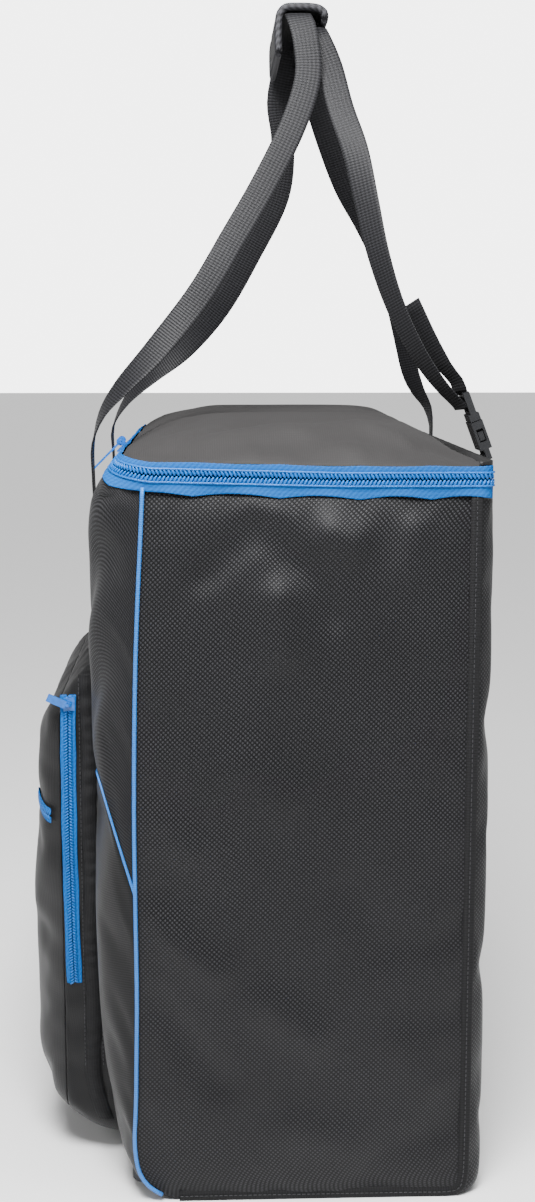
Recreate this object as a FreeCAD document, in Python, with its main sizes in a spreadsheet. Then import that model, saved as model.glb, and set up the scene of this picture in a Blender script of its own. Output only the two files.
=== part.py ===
"""Tall soft bag for two bowling balls, with a zipped lid, a front pocket and two carrying loops.

The frame: +X is the bag's right-hand end, -Y the pocket side, +Z up. The origin is the middle of
the flat base, on the surface that the bag stands on. Millimetres.
"""
import FreeCAD, Part
import math
import os
import re

Vector = FreeCAD.Vector

DIMENSIONS = {
    "bag_width": 460, "front_face": 155, "rear_face": 125, "rim_height": 524, "wall": 2,
    "front_corner": 28, "rear_corner": 10, "base_front_round": 30, "base_rear_round": 10,
    "inner_round": 22,
    "front_seam": 278, "foam": 4, "board": 4, "inner_skin": 0.8, "gap": 0.3,
    "lid_front": 130, "lid_floor": 543, "lid_top": 570, "lid_round": 20, "hinge_height": 532,
    "tape": 0.8, "tape_wide": 7.6, "coil_proud": 2.4, "coil_wide": 4.1, "coil_split": 0.9,
    "zip_front_y": 139, "zip_front_z": 543, "zip_tilt": 40, "zip_front_half": 200,
    "cradle_top": 52, "ball_radius": 108, "ball_clear": 1.5, "divider_half": 4, "divider_top": 330,
    "pocket_half": 160, "pocket_front": 206, "pocket_wall": 1.5, "pocket_top": 385,
    "pocket_bottom": 15, "pocket_split": 186, "pocket_zip_y": 178.5, "pocket_zip_low": 142,
    "pocket_zip_high": 368, "small_tape": 5.2, "small_coil_wide": 2.3, "small_coil_proud": 1.8,
    "small_coil_split": 0.7, "organiser_z": 272, "organiser_half": 100,
    "webbing_wide": 20, "webbing_thick": 1.6, "strap_out": 125, "front_sewn_top": 503,
    "rear_sewn_top": 503, "grip_half": 60,
    "buckle_y": 134, "buckle_z": 548, "buckle_lean": 21, "buckle_half": 13, "buckle_thick": 9,
    "bead": 3, "bead_proud": 2,
}

doc = FreeCAD.newDocument("ball_bag")
sheet = doc.addObject("Spreadsheet::Sheet", "sizes")
for row, (alias, value) in enumerate(DIMENSIONS.items(), start=1):
    sheet.set(f"A{row}", alias)
    sheet.set(f"B{row}", str(value))
    sheet.setAlias(f"B{row}", alias)
doc.recompute()

NODES = []


def size(alias):
    """Value of one of the sheet's words."""
    return float(sheet.get(alias))


def bound(text):
    """An expression with each of the sheet's words given its full name."""
    return re.sub(r"[a-z_]+", lambda word: "sizes." + word.group(), str(text))


def node(thing, label):
    """Names a finished piece and lists it for its file."""
    thing.Label = label
    NODES.append(thing)
    return thing


def bind_spans(block, spans, holder=None):
    """Ties a box's three sizes, and its low corner, to pairs of expressions."""
    holder = holder or block
    for side, axis, (low, high) in zip(("Length", "Width", "Height"), "xyz", spans):
        block.setExpression(side, f"({bound(high)}) - ({bound(low)})")
        holder.setExpression(f"Placement.Base.{axis}", bound(low))


def box(name, x_span, y_span, z_span):
    """A plain box between two expressions along each axis."""
    made = doc.addObject("Part::Box", name)
    bind_spans(made, (x_span, y_span, z_span))
    return made


def edges_at(shape, along, **ends):
    """Names of a block's edges along one axis, kept to the given low or high sides."""
    limits = shape.BoundBox
    low = {"x": limits.XMin, "y": limits.YMin, "z": limits.ZMin}
    high = {"x": limits.XMax, "y": limits.YMax, "z": limits.ZMax}
    names = []
    for number, edge in enumerate(shape.Edges, start=1):
        points = [vertex.Point for vertex in edge.Vertexes]
        step = points[-1] - points[0]
        if along and abs(getattr(step, along)) < 0.99 * edge.Length:
            continue
        sides = [abs(getattr(point, axis) - (low if end == "low" else high)[axis]) < 0.01
                 for axis, end in ends.items() for point in points]
        if all(sides):
            names.append(f"Edge{number}")
    return names


def rounded_block(name, spans, rounds):
    """A body of one block whose edges are rounded in turn: (radius, along, sides)."""
    body = doc.addObject("PartDesign::Body", name)
    feature = body.newObject("PartDesign::AdditiveBox", name + "_block")
    bind_spans(feature, spans, body)
    doc.recompute()
    for count, (radius, along, ends) in enumerate(rounds):
        fillet = body.newObject("PartDesign::Fillet", f"{name}_round_{count}")
        fillet.Base = (feature, edges_at(feature.Shape, along, **ends))
        fillet.setExpression("Radius", bound(radius))
        body.Tip = fillet
        doc.recompute()
        feature = fillet
    return body


def joined(kind, name, *pieces):
    """A fuse, cut or common of earlier solids."""
    if kind == "Cut" or len(pieces) == 2:
        made = doc.addObject("Part::" + kind, name)
        made.Base, made.Tool = pieces
    else:
        made = doc.addObject("Part::Multi" + kind, name)
        made.Shapes = list(pieces)
    return made


def group(name, *pieces):
    """Separate solids that share one node."""
    made = doc.addObject("Part::Compound", name)
    made.Links = list(pieces)
    return made


def profile_pad(name, points, length):
    """A body of one outline in the Y-Z plane, padded evenly to both sides."""
    body = doc.addObject("PartDesign::Body", name)
    sketch = body.newObject("Sketcher::SketchObject", name + "_outline")
    plane = next(item for item in body.Origin.OriginFeatures if item.Role == "YZ_Plane")
    sketch.AttachmentSupport = [(plane, "")]
    sketch.MapMode = "FlatFace"
    for start, end in zip(points, points[1:] + points[:1]):
        sketch.addGeometry(Part.LineSegment(Vector(*start, 0), Vector(*end, 0)))
    pad = body.newObject("PartDesign::Pad", name + "_pad")
    pad.Profile = sketch
    pad.SideType = "Symmetric"
    pad.setExpression("Length", bound(length))
    return body


def both_ends(text):
    """The right-hand span of expressions and its mirror at the left-hand end."""
    low, high = text
    return {"right": (low, high), "left": (f"-({high})", f"-({low})")}


# ---------------------------------------------------------------- fabric walls
END = "bag_width / 2"


def plan_rounds(inset):
    """The upright corners of the bag, as rounds for a block."""
    return [(f"front_corner - {inset}", "z", {"y": "low"}),
            (f"rear_corner - {inset}", "z", {"y": "high"})]


def tub(name, inset, floor, top):
    """The bag's outer form less an even inset: a rounded plan met by a rounded side view."""
    spans = ((f"-({END} - {inset})", f"{END} - {inset}"),
             (f"-(front_face - {inset})", f"rear_face - {inset}"), (floor, top))
    plan = rounded_block(name + "_plan", spans, plan_rounds(inset))
    side = rounded_block(name + "_side", spans,
                         [(f"base_front_round - {inset}", "x", {"y": "low", "z": "low"}),
                          (f"base_rear_round - {inset}", "x", {"y": "high", "z": "low"})])
    return joined("Common", name, plan, side)


shell = joined("Cut", "wall_shell", tub("outer", "0", "0", "rim_height"),
               tub("inner", "wall", "wall", "rim_height + 5"))
FRONT_EDGE = "-(front_face - front_corner)"
REAR_EDGE = "rear_face - rear_corner"
ALL_X = (f"-({END} + 1)", f"{END} + 1")
INNER_X = (f"-({END} - wall)", f"{END} - wall")


def wall_panel(label, x_span, y_span, z_span):
    """One cut panel of the shell."""
    region = box(label + "_region", x_span, y_span, z_span)
    return node(joined("Common", label, shell, region), label)


wall_panel("front_panel", ALL_X, ("-(front_face + 1)", FRONT_EDGE), ("front_seam", "rim_height + 1"))
wall_panel("front_lower_panel", ALL_X, ("-(front_face + 1)", FRONT_EDGE), ("-1", "front_seam"))
wall_panel("rear_panel", ALL_X, (REAR_EDGE, "rear_face + 1"), ("-1", "rim_height + 1"))
wall_panel("base_panel", INNER_X, (FRONT_EDGE, REAR_EDGE), ("-1", "wall + 2"))
for side, span in both_ends((f"{END} - wall", f"{END} + 1")).items():
    wall_panel("end_panel_" + side, span, (FRONT_EDGE, REAR_EDGE), ("-1", "rim_height + 1"))

# The strip of fabric that leans in from the front panel to the zip.
tilt = math.radians(size("zip_tilt"))
zip_y = -size("zip_front_y")
zip_z = size("zip_front_z")


def on_zip(along, out):
    """A point of the front zip's own axes, up its slope and out of its face, in Y and Z."""
    return (zip_y + along * math.cos(tilt) - out * math.sin(tilt),
            zip_z + along * math.sin(tilt) + out * math.cos(tilt))


TAPE_LOW = -10.5
front = -size("front_face")
rim = size("rim_height")
node(profile_pad("front_rim_fabric",
                 [(front, rim), (front + size("wall"), rim), on_zip(TAPE_LOW, -size("tape")),
                  on_zip(TAPE_LOW, 0)], "2 * zip_front_half"), "front_rim_fabric")

# ---------------------------------------------------------------- beads on the seams
OUT_X = both_ends((END, f"{END} + bead_proud"))
for side, span in OUT_X.items():
    node(box("front_piping_" + side, span, (f"{FRONT_EDGE} - bead / 2", f"{FRONT_EDGE} + bead / 2"),
             ("base_front_round", "rim_height")), "front_piping_" + side)
    upright = box("end_upright_" + side, span, (f"{REAR_EDGE} - bead", REAR_EDGE),
                  ("base_rear_round", "rim_height"))
    foot = box("end_foot_" + side, span, ("-(front_face - base_front_round)", f"{REAR_EDGE} - bead"),
               ("wall", "wall + bead"))
    node(group("end_binding_" + side, upright, foot), "end_binding_" + side)
for side, span in both_ends(("pocket_half + 2", f"{END} - front_corner")).items():
    node(box("accent_piping_" + side, span, ("-(front_face + bead_proud)", "-front_face"),
             ("front_seam", "front_seam + bead")), "accent_piping_" + side)

# ---------------------------------------------------------------- padding, board and lining
node(box("front_foam", (f"-({END} - 32)", f"{END} - 32"),
         ("-(front_face - wall - gap)", "-(front_face - wall - gap - foam)"), ("34", "rim_height - 6")),
     "front_foam")
node(box("rear_foam", (f"-({END} - 14)", f"{END} - 14"),
         ("rear_face - wall - gap - foam", "rear_face - wall - gap"), ("14", "rim_height - 6")), "rear_foam")
for side, span in both_ends((f"{END} - wall - gap - foam", f"{END} - wall - gap")).items():
    node(box("end_foam_" + side, span, ("-(front_face - 34)", "rear_face - 13"), ("14", "rim_height - 6")),
         "end_foam_" + side)
node(rounded_block("base_board", ((f"-({END} - 10)", f"{END} - 10"),
                                  ("-(front_face - 35)", "rear_face - 17"),
                                  ("wall + gap", "wall + gap + board")), [("8", "z", {})]), "base_board")
LINING_FLOOR = "wall + gap + board + gap"
FRONT_FOOT = [("inner_round", "x", {"y": "low", "z": "low"})]


def lining_spans(inset, floor, top):
    """The lining's outer form less an inset."""
    return ((f"-({END} - 7 - {inset})", f"{END} - 7 - {inset}"),
            (f"-(front_face - 7 - {inset})", f"rear_face - 7 - {inset}"), (floor, top))


lining_outer = rounded_block("lining_outer", lining_spans("0", LINING_FLOOR, "rim_height - 6"),
                             FRONT_FOOT + [("18", "z", {})])
lining_inner = rounded_block("lining_inner", lining_spans("inner_skin", f"{LINING_FLOOR} + inner_skin",
                                                          "rim_height"),
                             FRONT_FOOT + [("18 - inner_skin", "z", {})])
node(joined("Cut", "lining", lining_outer, lining_inner), "lining")

# ---------------------------------------------------------------- ball seats and divider
SEAT_FLOOR = f"{LINING_FLOOR} + inner_skin + gap"
SEAT_Y = ("-(front_face - 8.2)", "rear_face - 8.2")
node(rounded_block("ball_divider", (("-divider_half", "divider_half"), SEAT_Y,
                                    (SEAT_FLOOR, "divider_top")),
                   FRONT_FOOT + [("3", "y", {"z": "high"})]),
     "ball_divider")
for side, span in both_ends(("divider_half + gap", f"{END} - 8.2")).items():
    block = rounded_block("cradle_block_" + side, (span, SEAT_Y, (SEAT_FLOOR, "cradle_top")),
                          FRONT_FOOT + [("18", "z", {"x": "high" if side == "right" else "low"})])
    ball = doc.addObject("Part::Sphere", "ball_space_" + side)
    ball.setExpression("Radius", bound("ball_radius + ball_clear"))
    ball.setExpression("Placement.Base.x", bound(f"({span[0]} + {span[1]}) / 2"))
    ball.setExpression("Placement.Base.y", bound("(rear_face - front_face) / 2"))
    ball.setExpression("Placement.Base.z", bound(f"{SEAT_FLOOR} + 5 + ball_radius"))
    node(joined("Cut", "ball_cradle_" + side, block, ball), "ball_cradle_" + side)

# ---------------------------------------------------------------- lid
def lid_block(name, inset, floor):
    """The lid's low dome less an even inset."""
    spans = ((f"-({END} - {inset})", f"{END} - {inset}"),
             (f"-(lid_front - {inset})", f"rear_face - {inset}"), (floor, f"lid_top - {inset}"))
    rounds = plan_rounds(inset)
    return rounded_block(name, spans, rounds + [(f"lid_round - {inset}", "", {"z": "high"})])


node(joined("Cut", "lid_panel", lid_block("lid_outer", "0", "lid_floor"),
            lid_block("lid_inner", "wall", "lid_floor - 2")), "lid_panel")
LID_X = (f"-({END} - 25)", f"{END} - 25")
LID_Y = ("-(lid_front - 25)", "rear_face - 25")
node(box("lid_foam", LID_X, LID_Y, ("lid_top - wall - gap - foam", "lid_top - wall - gap")), "lid_foam")
node(box("lid_lining", LID_X, LID_Y, ("lid_top - wall - 2 * gap - foam - inner_skin",
                                      "lid_top - wall - 2 * gap - foam")), "lid_lining")
node(box("lid_hinge_strip", (f"-({END} - 14)", f"{END} - 14"), ("rear_face - wall", "rear_face"),
         ("hinge_height + 1", "lid_floor")), "lid_hinge_strip")

# ---------------------------------------------------------------- main zip
RUN_Y = (FRONT_EDGE, "rear_face - 4")
LID_RUN_Y = ("-(lid_front - front_corner)", "rear_face - rear_corner")


def end_runs(label, x_span, y_span, z_span, extra=()):
    """The two runs of a zip part along the bag's ends, in one node with any others."""
    runs = [box(f"{label}_{side}", span, y_span, z_span) for side, span in both_ends(x_span).items()]
    return node(group(label, *runs, *extra), label)


def front_run(name, along_low, along_wide, out_low, out_high):
    """A straight strip of the front zip on its slope."""
    strip = doc.addObject("Part::Box", name)
    strip.setExpression("Length", bound("2 * zip_front_half"))
    strip.setExpression("Width", bound(along_wide))
    strip.setExpression("Height", bound(f"({out_high}) - ({out_low})"))
    y, z = on_zip(along_low, -size("tape") if out_low == "-tape" else 0)
    strip.Placement = FreeCAD.Placement(Vector(-size("zip_front_half"), y, z),
                                        FreeCAD.Rotation(Vector(1, 0, 0), size("zip_tilt")))
    return strip


end_runs("bag_zip_tape", (f"{END} - tape", END), RUN_Y, ("rim_height", "rim_height + tape_wide"),
         [front_run("bag_tape_front", TAPE_LOW, "tape_wide", "-tape", "0")])
end_runs("bag_zip_coil", (END, f"{END} + coil_proud"), RUN_Y,
         ("hinge_height + 1.5 - coil_split - coil_wide", "hinge_height + 1.5 - coil_split"),
         [front_run("bag_coil_front", -size("coil_split") - size("coil_wide"), "coil_wide", "0",
                    "coil_proud")])
end_runs("lid_zip_tape", (f"{END} - tape", END), LID_RUN_Y, ("lid_floor - tape_wide + 0.6", "lid_floor"))
end_runs("lid_zip_coil", (END, f"{END} + coil_proud"), LID_RUN_Y,
         ("hinge_height + 1.5 + coil_split", "hinge_height + 1.5 + coil_split + coil_wide"))

# ---------------------------------------------------------------- sliders and their pullers
LARGE = {"half_long": 8, "half_wide": 6.5, "plate": 1.4, "proud": 2.4, "post": 0.6, "crown": 3.6,
         "ring": 3.2, "eye": 1.5, "tab_half": 4, "tab_long": 31, "tab_thick": 1.6}
SMALL = {"half_long": 5, "half_wide": 4.2, "plate": 1.0, "proud": 1.8, "post": 0.4, "crown": 2.6,
         "ring": 2.3, "eye": 1.0, "tab_half": 3, "tab_long": 17, "tab_thick": 1.2}


def fixed_box(name, x_span, y_span, z_span):
    """A small box of a slider, between numbers along each axis."""
    made = doc.addObject("Part::Box", name)
    made.Length, made.Width, made.Height = [high - low for low, high in (x_span, y_span, z_span)]
    made.Placement.Base = Vector(x_span[0], y_span[0], z_span[0])
    return made


def even(half):
    """The span from minus a half to a half."""
    return (-half, half)


def bar_height(form):
    """How far the crown's bar stands off the tape's face."""
    return form["proud"] + size("gap") + form["plate"] + form["crown"]


def slider(label, form, placement):
    """Two plates and their post, with the crown whose bar lies along the travel."""
    tape, clear = size("tape"), size("gap")
    top = form["proud"] + clear
    bar = bar_height(form)
    half_bar = form["plate"] / 2
    crown_end = form["half_long"] * 0.5
    pieces = [fixed_box(label + "_outer", even(form["half_long"]), even(form["half_wide"]),
                        (top, top + form["plate"])),
              fixed_box(label + "_inner", even(form["half_long"]), even(form["half_wide"]),
                        (-tape - clear - form["plate"], -tape - clear)),
              fixed_box(label + "_post", even(1.5), even(form["post"]), (-tape - clear - 0.1, top + 0.1)),
              fixed_box(label + "_bar", even(crown_end), even(half_bar), (bar - half_bar, bar + half_bar))]
    for end in (-1, 1):
        foot = sorted((end * crown_end, end * (crown_end - 1.2)))
        pieces.append(fixed_box(f"{label}_foot_{end + 1}", foot, even(half_bar),
                                (top + 0.5, bar + half_bar)))
    made = joined("Fuse", label, *pieces)
    made.Placement = placement
    return node(made, label)


def puller(label, form, placement, swing, droop=0):
    """A flat tab on an eye around the crown's bar, swung about the bar by the given angle."""
    ring = doc.addObject("Part::Cylinder", label + "_ring")
    hole = doc.addObject("Part::Cylinder", label + "_eye")
    for cylinder, radius, half in ((ring, form["ring"], 1.0), (hole, form["eye"], 1.2)):
        cylinder.Radius = radius
        cylinder.Height = 2 * half
        cylinder.Placement = FreeCAD.Placement(Vector(-half, 0, 0), FreeCAD.Rotation(Vector(0, 1, 0), 90))
    tab = fixed_box(label + "_tab", even(form["tab_half"]), (-form["tab_long"], -form["ring"] + 0.2),
                    even(form["tab_thick"] / 2))
    tab.Placement = FreeCAD.Placement(Vector(0, 0, 0), FreeCAD.Rotation(Vector(0, 0, 1), droop),
                                      Vector(0, -form["ring"], 0)).multiply(tab.Placement)
    eyelet = joined("Cut", label + "_eyelet", ring, hole)
    made = joined("Fuse", label, eyelet, tab)
    local = FreeCAD.Placement(Vector(0, 0, bar_height(form)), FreeCAD.Rotation(Vector(1, 0, 0), swing))
    made.Placement = placement.multiply(local)
    return node(made, label)


def turned(x, y, z, *turns):
    """A place with its turns, each an axis and degrees, applied first to last."""
    rotation = FreeCAD.Rotation()
    for axis, degrees in turns:
        rotation = FreeCAD.Rotation(Vector(*axis), degrees).multiply(rotation)
    return FreeCAD.Placement(Vector(x, y, z), rotation)


for side, x in (("right", 48), ("left", 26)):
    place = turned(x, zip_y, zip_z, ((1, 0, 0), size("zip_tilt")))
    slider("main_slider_" + side, LARGE, place)
    puller("main_puller_" + side, LARGE, place, 5)

# ---------------------------------------------------------------- front pocket
POCKET_OUTLINE = [(-155.2, 15), (-176, 15), (-190, 38), (-201, 62), (-206, 92), (-206, 300),
                  (-198, 330), (-184, 368), (-176, 385), (-155.2, 385)]


def inward(points, step):
    """An outline moved inwards by a wall, its back edge left where it is."""
    moved = []
    for before, (y, z), after in zip(points[-1:] + points[:-1], points, points[1:] + points[:1]):
        first = Vector(y - before[0], z - before[1], 0).normalize()
        second = Vector(after[0] - y, after[1] - z, 0).normalize()
        shift = (Vector(first.y, -first.x, 0) + Vector(second.y, -second.x, 0)) * (
            step / (1 + first.dot(second)))
        moved.append((y + shift.x, z + shift.y))
    return moved


pocket_wall = size("pocket_wall")
pocket_outer = profile_pad("pocket_outer", POCKET_OUTLINE, "2 * pocket_half")
pocket_hollow = [(min(y, -155.2) if y < -157 else -154, z) for y, z in inward(POCKET_OUTLINE, pocket_wall)]
pocket_inner = profile_pad("pocket_inner", pocket_hollow, "2 * (pocket_half - pocket_wall)")
pocket_shell = joined("Cut", "pocket_shell", pocket_outer, pocket_inner)
POCKET_X = ("-(pocket_half + 1)", "pocket_half + 1")
front_region = box("pocket_front_region", POCKET_X, ("-(pocket_front + 1)", "-pocket_split"),
                   ("pocket_bottom - 1", "pocket_top + 1"))
ORGANISER_X = ("-organiser_half", "organiser_half")
organiser_window = box("organiser_window", ORGANISER_X, ("-(pocket_front + 1)", "-(pocket_front - 3)"),
                       ("organiser_z - small_coil_split - small_tape",
                        "organiser_z + small_coil_split + small_tape"))
whole_front = joined("Common", "whole_pocket_front", pocket_shell, front_region)
node(joined("Cut", "pocket_front", whole_front, organiser_window), "pocket_front")
gusset_region = box("pocket_gusset_region", POCKET_X, ("-pocket_split", "-front_face"),
                    ("pocket_bottom - 1", "pocket_top + 1"))
whole_gusset = joined("Common", "whole_gusset", pocket_shell, gusset_region)
zip_window = box("pocket_zip_window", ("pocket_half - 3", "pocket_half + 1"),
                 ("-pocket_zip_y - small_tape - small_coil_split", "-pocket_zip_y + small_tape + "
                  "small_coil_split"), ("pocket_zip_low", "pocket_zip_high"))
node(joined("Cut", "pocket_gusset", whole_gusset, zip_window), "pocket_gusset")


def zip_halves(label, spans):
    """The two mirrored strips of a small zip, in one node."""
    strips = [box(f"{label}_{count}", *span) for count, span in enumerate(spans)]
    return node(group(label, *strips), label)


POCKET_RUN = ("pocket_zip_low", "pocket_zip_high")
zip_halves("pocket_zip_tape",
           [(("pocket_half - tape", "pocket_half"), span, POCKET_RUN) for span in
            (("-pocket_zip_y - small_coil_split - small_tape", "-pocket_zip_y - small_coil_split"),
             ("-pocket_zip_y + small_coil_split", "-pocket_zip_y + small_coil_split + small_tape"))])
zip_halves("pocket_zip_coil",
           [(("pocket_half", "pocket_half + small_coil_proud"), span, POCKET_RUN) for span in
            (("-pocket_zip_y - small_coil_split - small_coil_wide", "-pocket_zip_y - small_coil_split"),
             ("-pocket_zip_y + small_coil_split",
              "-pocket_zip_y + small_coil_split + small_coil_wide"))])
place = turned(size("pocket_half"), -size("pocket_zip_y"), 361, ((0, 1, 0), 90), ((1, 0, 0), 0))
slider("pocket_slider", SMALL, place)
puller("pocket_puller", SMALL, place, 0, -24)
zip_halves("organiser_zip_tape",
           [(ORGANISER_X, ("-pocket_front", "-pocket_front + tape"), span) for span in
            (("organiser_z - small_coil_split - small_tape", "organiser_z - small_coil_split"),
             ("organiser_z + small_coil_split", "organiser_z + small_coil_split + small_tape"))])
zip_halves("organiser_zip_coil",
           [(ORGANISER_X, ("-pocket_front - small_coil_proud", "-pocket_front"), span) for span in
            (("organiser_z - small_coil_split - small_coil_wide", "organiser_z - small_coil_split"),
             ("organiser_z + small_coil_split",
              "organiser_z + small_coil_split + small_coil_wide"))])
place = turned(-size("organiser_half") + 7, -size("pocket_front"), size("organiser_z"), ((1, 0, 0), 90))
slider("organiser_slider", SMALL, place)
puller("organiser_puller", SMALL, place, 0)

# ---------------------------------------------------------------- webbing
SEWN_X = both_ends(("strap_out - webbing_wide / 2", "strap_out + webbing_wide / 2"))
for side, span in SEWN_X.items():
    node(box("front_webbing_" + side, span, ("-(front_face + webbing_thick + 0.1)", "-(front_face + 0.1)"),
             ("pocket_top + 1", "front_sewn_top")), "front_webbing_" + side)
    node(box("rear_webbing_" + side, span, ("rear_face", "rear_face + webbing_thick"),
             ("40", "rear_sewn_top")), "rear_webbing_" + side)


def webbing(name, stations):
    """A strap through (x, y, z, turn): at 0 its width lies along X, at 90 along Y."""
    points = [Vector(*station[:3]) for station in stations]
    half_wide, half_thick = size("webbing_wide") / 2, size("webbing_thick") / 2
    sections = []
    for count, (point, station) in enumerate(zip(points, stations)):
        along = (points[min(count + 1, len(points) - 1)] - points[max(count - 1, 0)]).normalize()
        turn = math.radians(station[3])
        wide = Vector(math.cos(turn) * math.copysign(1, station[0]), math.sin(turn), 0)
        wide = (wide - along * wide.dot(along)).normalize() * half_wide
        thick = along.cross(wide).normalize() * half_thick
        corners = [point + wide + thick, point - wide + thick, point - wide - thick, point + wide - thick]
        sections.append(Part.makePolygon(corners + corners[:1]))
    made = doc.addObject("Part::Feature", name)
    made.Shape = Part.makeLoft(sections, True, True)
    return made


FRONT_RIGHT = [(125, -160.2, 508, 0), (125, -160.2, 552, 0), (124.5, -153, 574, 20),
               (123, -138, 594, 50), (119, -112, 622, 75), (111, -80, 662, 90), (101, -54, 705, 90),
               (92, -30, 746, 90), (84, -8, 790, 90), (77, 3, 826, 90), (71, 1, 856, 90),
               (64, -3, 870, 90), (52, -4, 875, 90)]
FRONT_LEFT = [(-52, -4, 875, 90), (-64, -5, 870, 90), (-71, -8, 856, 90), (-77, -13, 828, 90),
              (-83, -9, 796, 90), (-91, -13, 752, 90), (-101, -38, 702, 90), (-110, -64, 658, 90),
              (-118, -94, 624, 80), (-123, -126, 598, 60), (-124.5, -148, 575, 25),
              (-125, -160.2, 552, 0), (-125, -160.2, 508, 0)]
REAR_RIGHT = [(125, 114, 581, 25), (124, 99, 597, 30), (121, 82, 622, 35), (115, 66, 656, 40),
              (108, 54, 694, 50), (99, 46, 732, 60), (89, 38, 770, 75), (76, 28, 802, 85),
              (66, 20, 834, 90), (60, 11, 856, 90), (52, 8, 864.5, 90)]
REAR_LEFT = [(-52, 8, 864.5, 90), (-60, 11, 854, 90), (-66, 18, 828, 90), (-76, 31, 792, 85),
             (-90, 46, 758, 75), (-103, 64, 728, 60), (-113, 80, 697, 50), (-120, 92, 664, 45),
             (-124, 101, 630, 45), (-125, 108, 602, 45), (-125, 115, 585, 35), (-125, 124.5, 569, 15),
             (-125, 128, 552, 0), (-125, 128, 536, 0)]
TAIL = [(125, 113.5, 598, 25), (124, 103, 608, 30), (121.5, 90, 629, 35), (117, 76, 655, 40)]
node(webbing("front_handle_webbing", FRONT_RIGHT + FRONT_LEFT), "front_handle_webbing")
node(webbing("rear_handle_webbing", REAR_RIGHT + REAR_LEFT), "rear_handle_webbing")
node(webbing("rear_handle_tail", TAIL), "rear_handle_tail")

# ---------------------------------------------------------------- grip wrap
GRIP_OUTER = [(-22, 846), (-22, 874), (-14, 882), (12, 882), (20, 875.5), (20, 870.5)]
GRIP_INNER = [(16.8, 870.5), (16.8, 873.5), (11, 878.5), (-13, 878.5), (-18.5, 873), (-18.5, 846)]
node(profile_pad("grip_wrap", GRIP_OUTER + GRIP_INNER, "2 * grip_half"), "grip_wrap")

# ---------------------------------------------------------------- side-release buckle
lean = turned(size("strap_out"), size("buckle_y"), size("buckle_z"), ((1, 0, 0), size("buckle_lean")))
wide = even(size("buckle_half"))
thick = size("buckle_thick") / 2


def buckle_piece(label, solids, cuts):
    """A moulded piece made of upright blocks, less its slots, leaned with the strap."""
    made = solids[0] if len(solids) == 1 else joined("Fuse", label + "_solid", *solids)
    for count, cut in enumerate(cuts):
        made = joined("Cut", f"{label}_cut_{count}", made, cut)
    made.Placement = lean
    return node(made, label)


buckle_piece("buckle_socket",
             [fixed_box("socket_body", wide, even(thick), (0, 22)),
              fixed_box("socket_bar", wide, even(2), (-8, 1))],
             [fixed_box("socket_hollow", even(10.8), even(2.6), (3, 23)),
              fixed_box("socket_windows", even(14), even(2.6), (6, 16)),
              fixed_box("socket_slot", even(10.5), even(3), (-5, -1))])
buckle_piece("buckle_plug",
             [fixed_box("plug_shoulder", even(12.5), even(4), (22.6, 28)),
              fixed_box("plug_frame", even(12.5), even(2.4), (27, 45)),
              fixed_box("plug_tongue", even(1.6), even(2), (5, 23))],
             [fixed_box("plug_slot_low", even(10.3), even(5), (30, 34)),
              fixed_box("plug_slot_high", even(10.3), even(5), (38, 42))])
for side, mirror in (("right", 1), ("left", -1)):
    stem = tuple(sorted((mirror * 5.5, mirror * 7.5)))
    catch = tuple(sorted((mirror * 7, mirror * 12.2)))
    buckle_piece("squeeze_arm_" + side,
                 [fixed_box("arm_stem_" + side, stem, even(2), (7, 22.3)),
                  fixed_box("arm_catch_" + side, catch, even(2), (7, 14))], [])
node(webbing("buckle_webbing", [(125, 127.4, 534.5, 0), (125, 129.4, 537.5, 0), (125, 133.6, 540.6, 0)]),
     "buckle_webbing")

# ---------------------------------------------------------------- check and write
doc.recompute()
for thing in doc.Objects:
    if "Invalid" in thing.State or "Error" in thing.State:
        raise RuntimeError(f"{thing.Name} failed: {thing.State}")
os.makedirs("parts", exist_ok=True)
for piece in NODES:
    shape = piece.Shape
    if shape.isNull() or not shape.isValid() or not shape.Solids:
        raise RuntimeError(f"{piece.Label} has no sound solid")
    shape.exportStep(f"parts/{piece.Label}.step")
    print(f"{piece.Label}: {len(shape.Solids)} solids, {shape.Volume / 1000:.1f} cm3")
print(len(NODES), "nodes")
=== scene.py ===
# %% [markdown]
# # A tall soft bag for two bowling balls
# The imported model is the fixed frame: every soft piece below is laid over it, in metres, where the
# frame says. The bag's right-hand end faces +X, its pocket faces -Y and it stands on Z = 0.

# %% Load the frame
import math
import bmesh
import bpy
import numpy as np
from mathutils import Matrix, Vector


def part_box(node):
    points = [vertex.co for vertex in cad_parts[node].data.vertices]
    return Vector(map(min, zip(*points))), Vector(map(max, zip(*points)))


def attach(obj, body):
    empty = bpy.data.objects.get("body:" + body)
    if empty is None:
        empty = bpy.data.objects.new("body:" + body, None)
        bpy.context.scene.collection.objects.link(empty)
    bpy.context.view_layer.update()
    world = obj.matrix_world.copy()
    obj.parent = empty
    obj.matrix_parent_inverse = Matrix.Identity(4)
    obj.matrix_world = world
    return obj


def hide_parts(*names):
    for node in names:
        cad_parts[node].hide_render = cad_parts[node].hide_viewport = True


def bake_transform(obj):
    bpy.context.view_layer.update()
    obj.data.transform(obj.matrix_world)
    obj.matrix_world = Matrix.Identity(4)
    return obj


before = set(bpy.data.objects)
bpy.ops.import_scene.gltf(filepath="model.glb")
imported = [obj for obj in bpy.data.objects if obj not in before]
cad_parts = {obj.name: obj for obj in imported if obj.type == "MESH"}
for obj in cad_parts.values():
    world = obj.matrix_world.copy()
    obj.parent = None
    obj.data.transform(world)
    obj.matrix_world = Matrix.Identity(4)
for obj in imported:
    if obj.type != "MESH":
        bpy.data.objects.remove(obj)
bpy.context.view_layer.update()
MM = 0.001
END_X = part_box("end_panel_right")[1].x
REAR_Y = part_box("rear_panel")[1].y
FRONT_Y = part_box("front_panel")[0].y
RIM_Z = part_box("end_panel_right")[1].z
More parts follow.
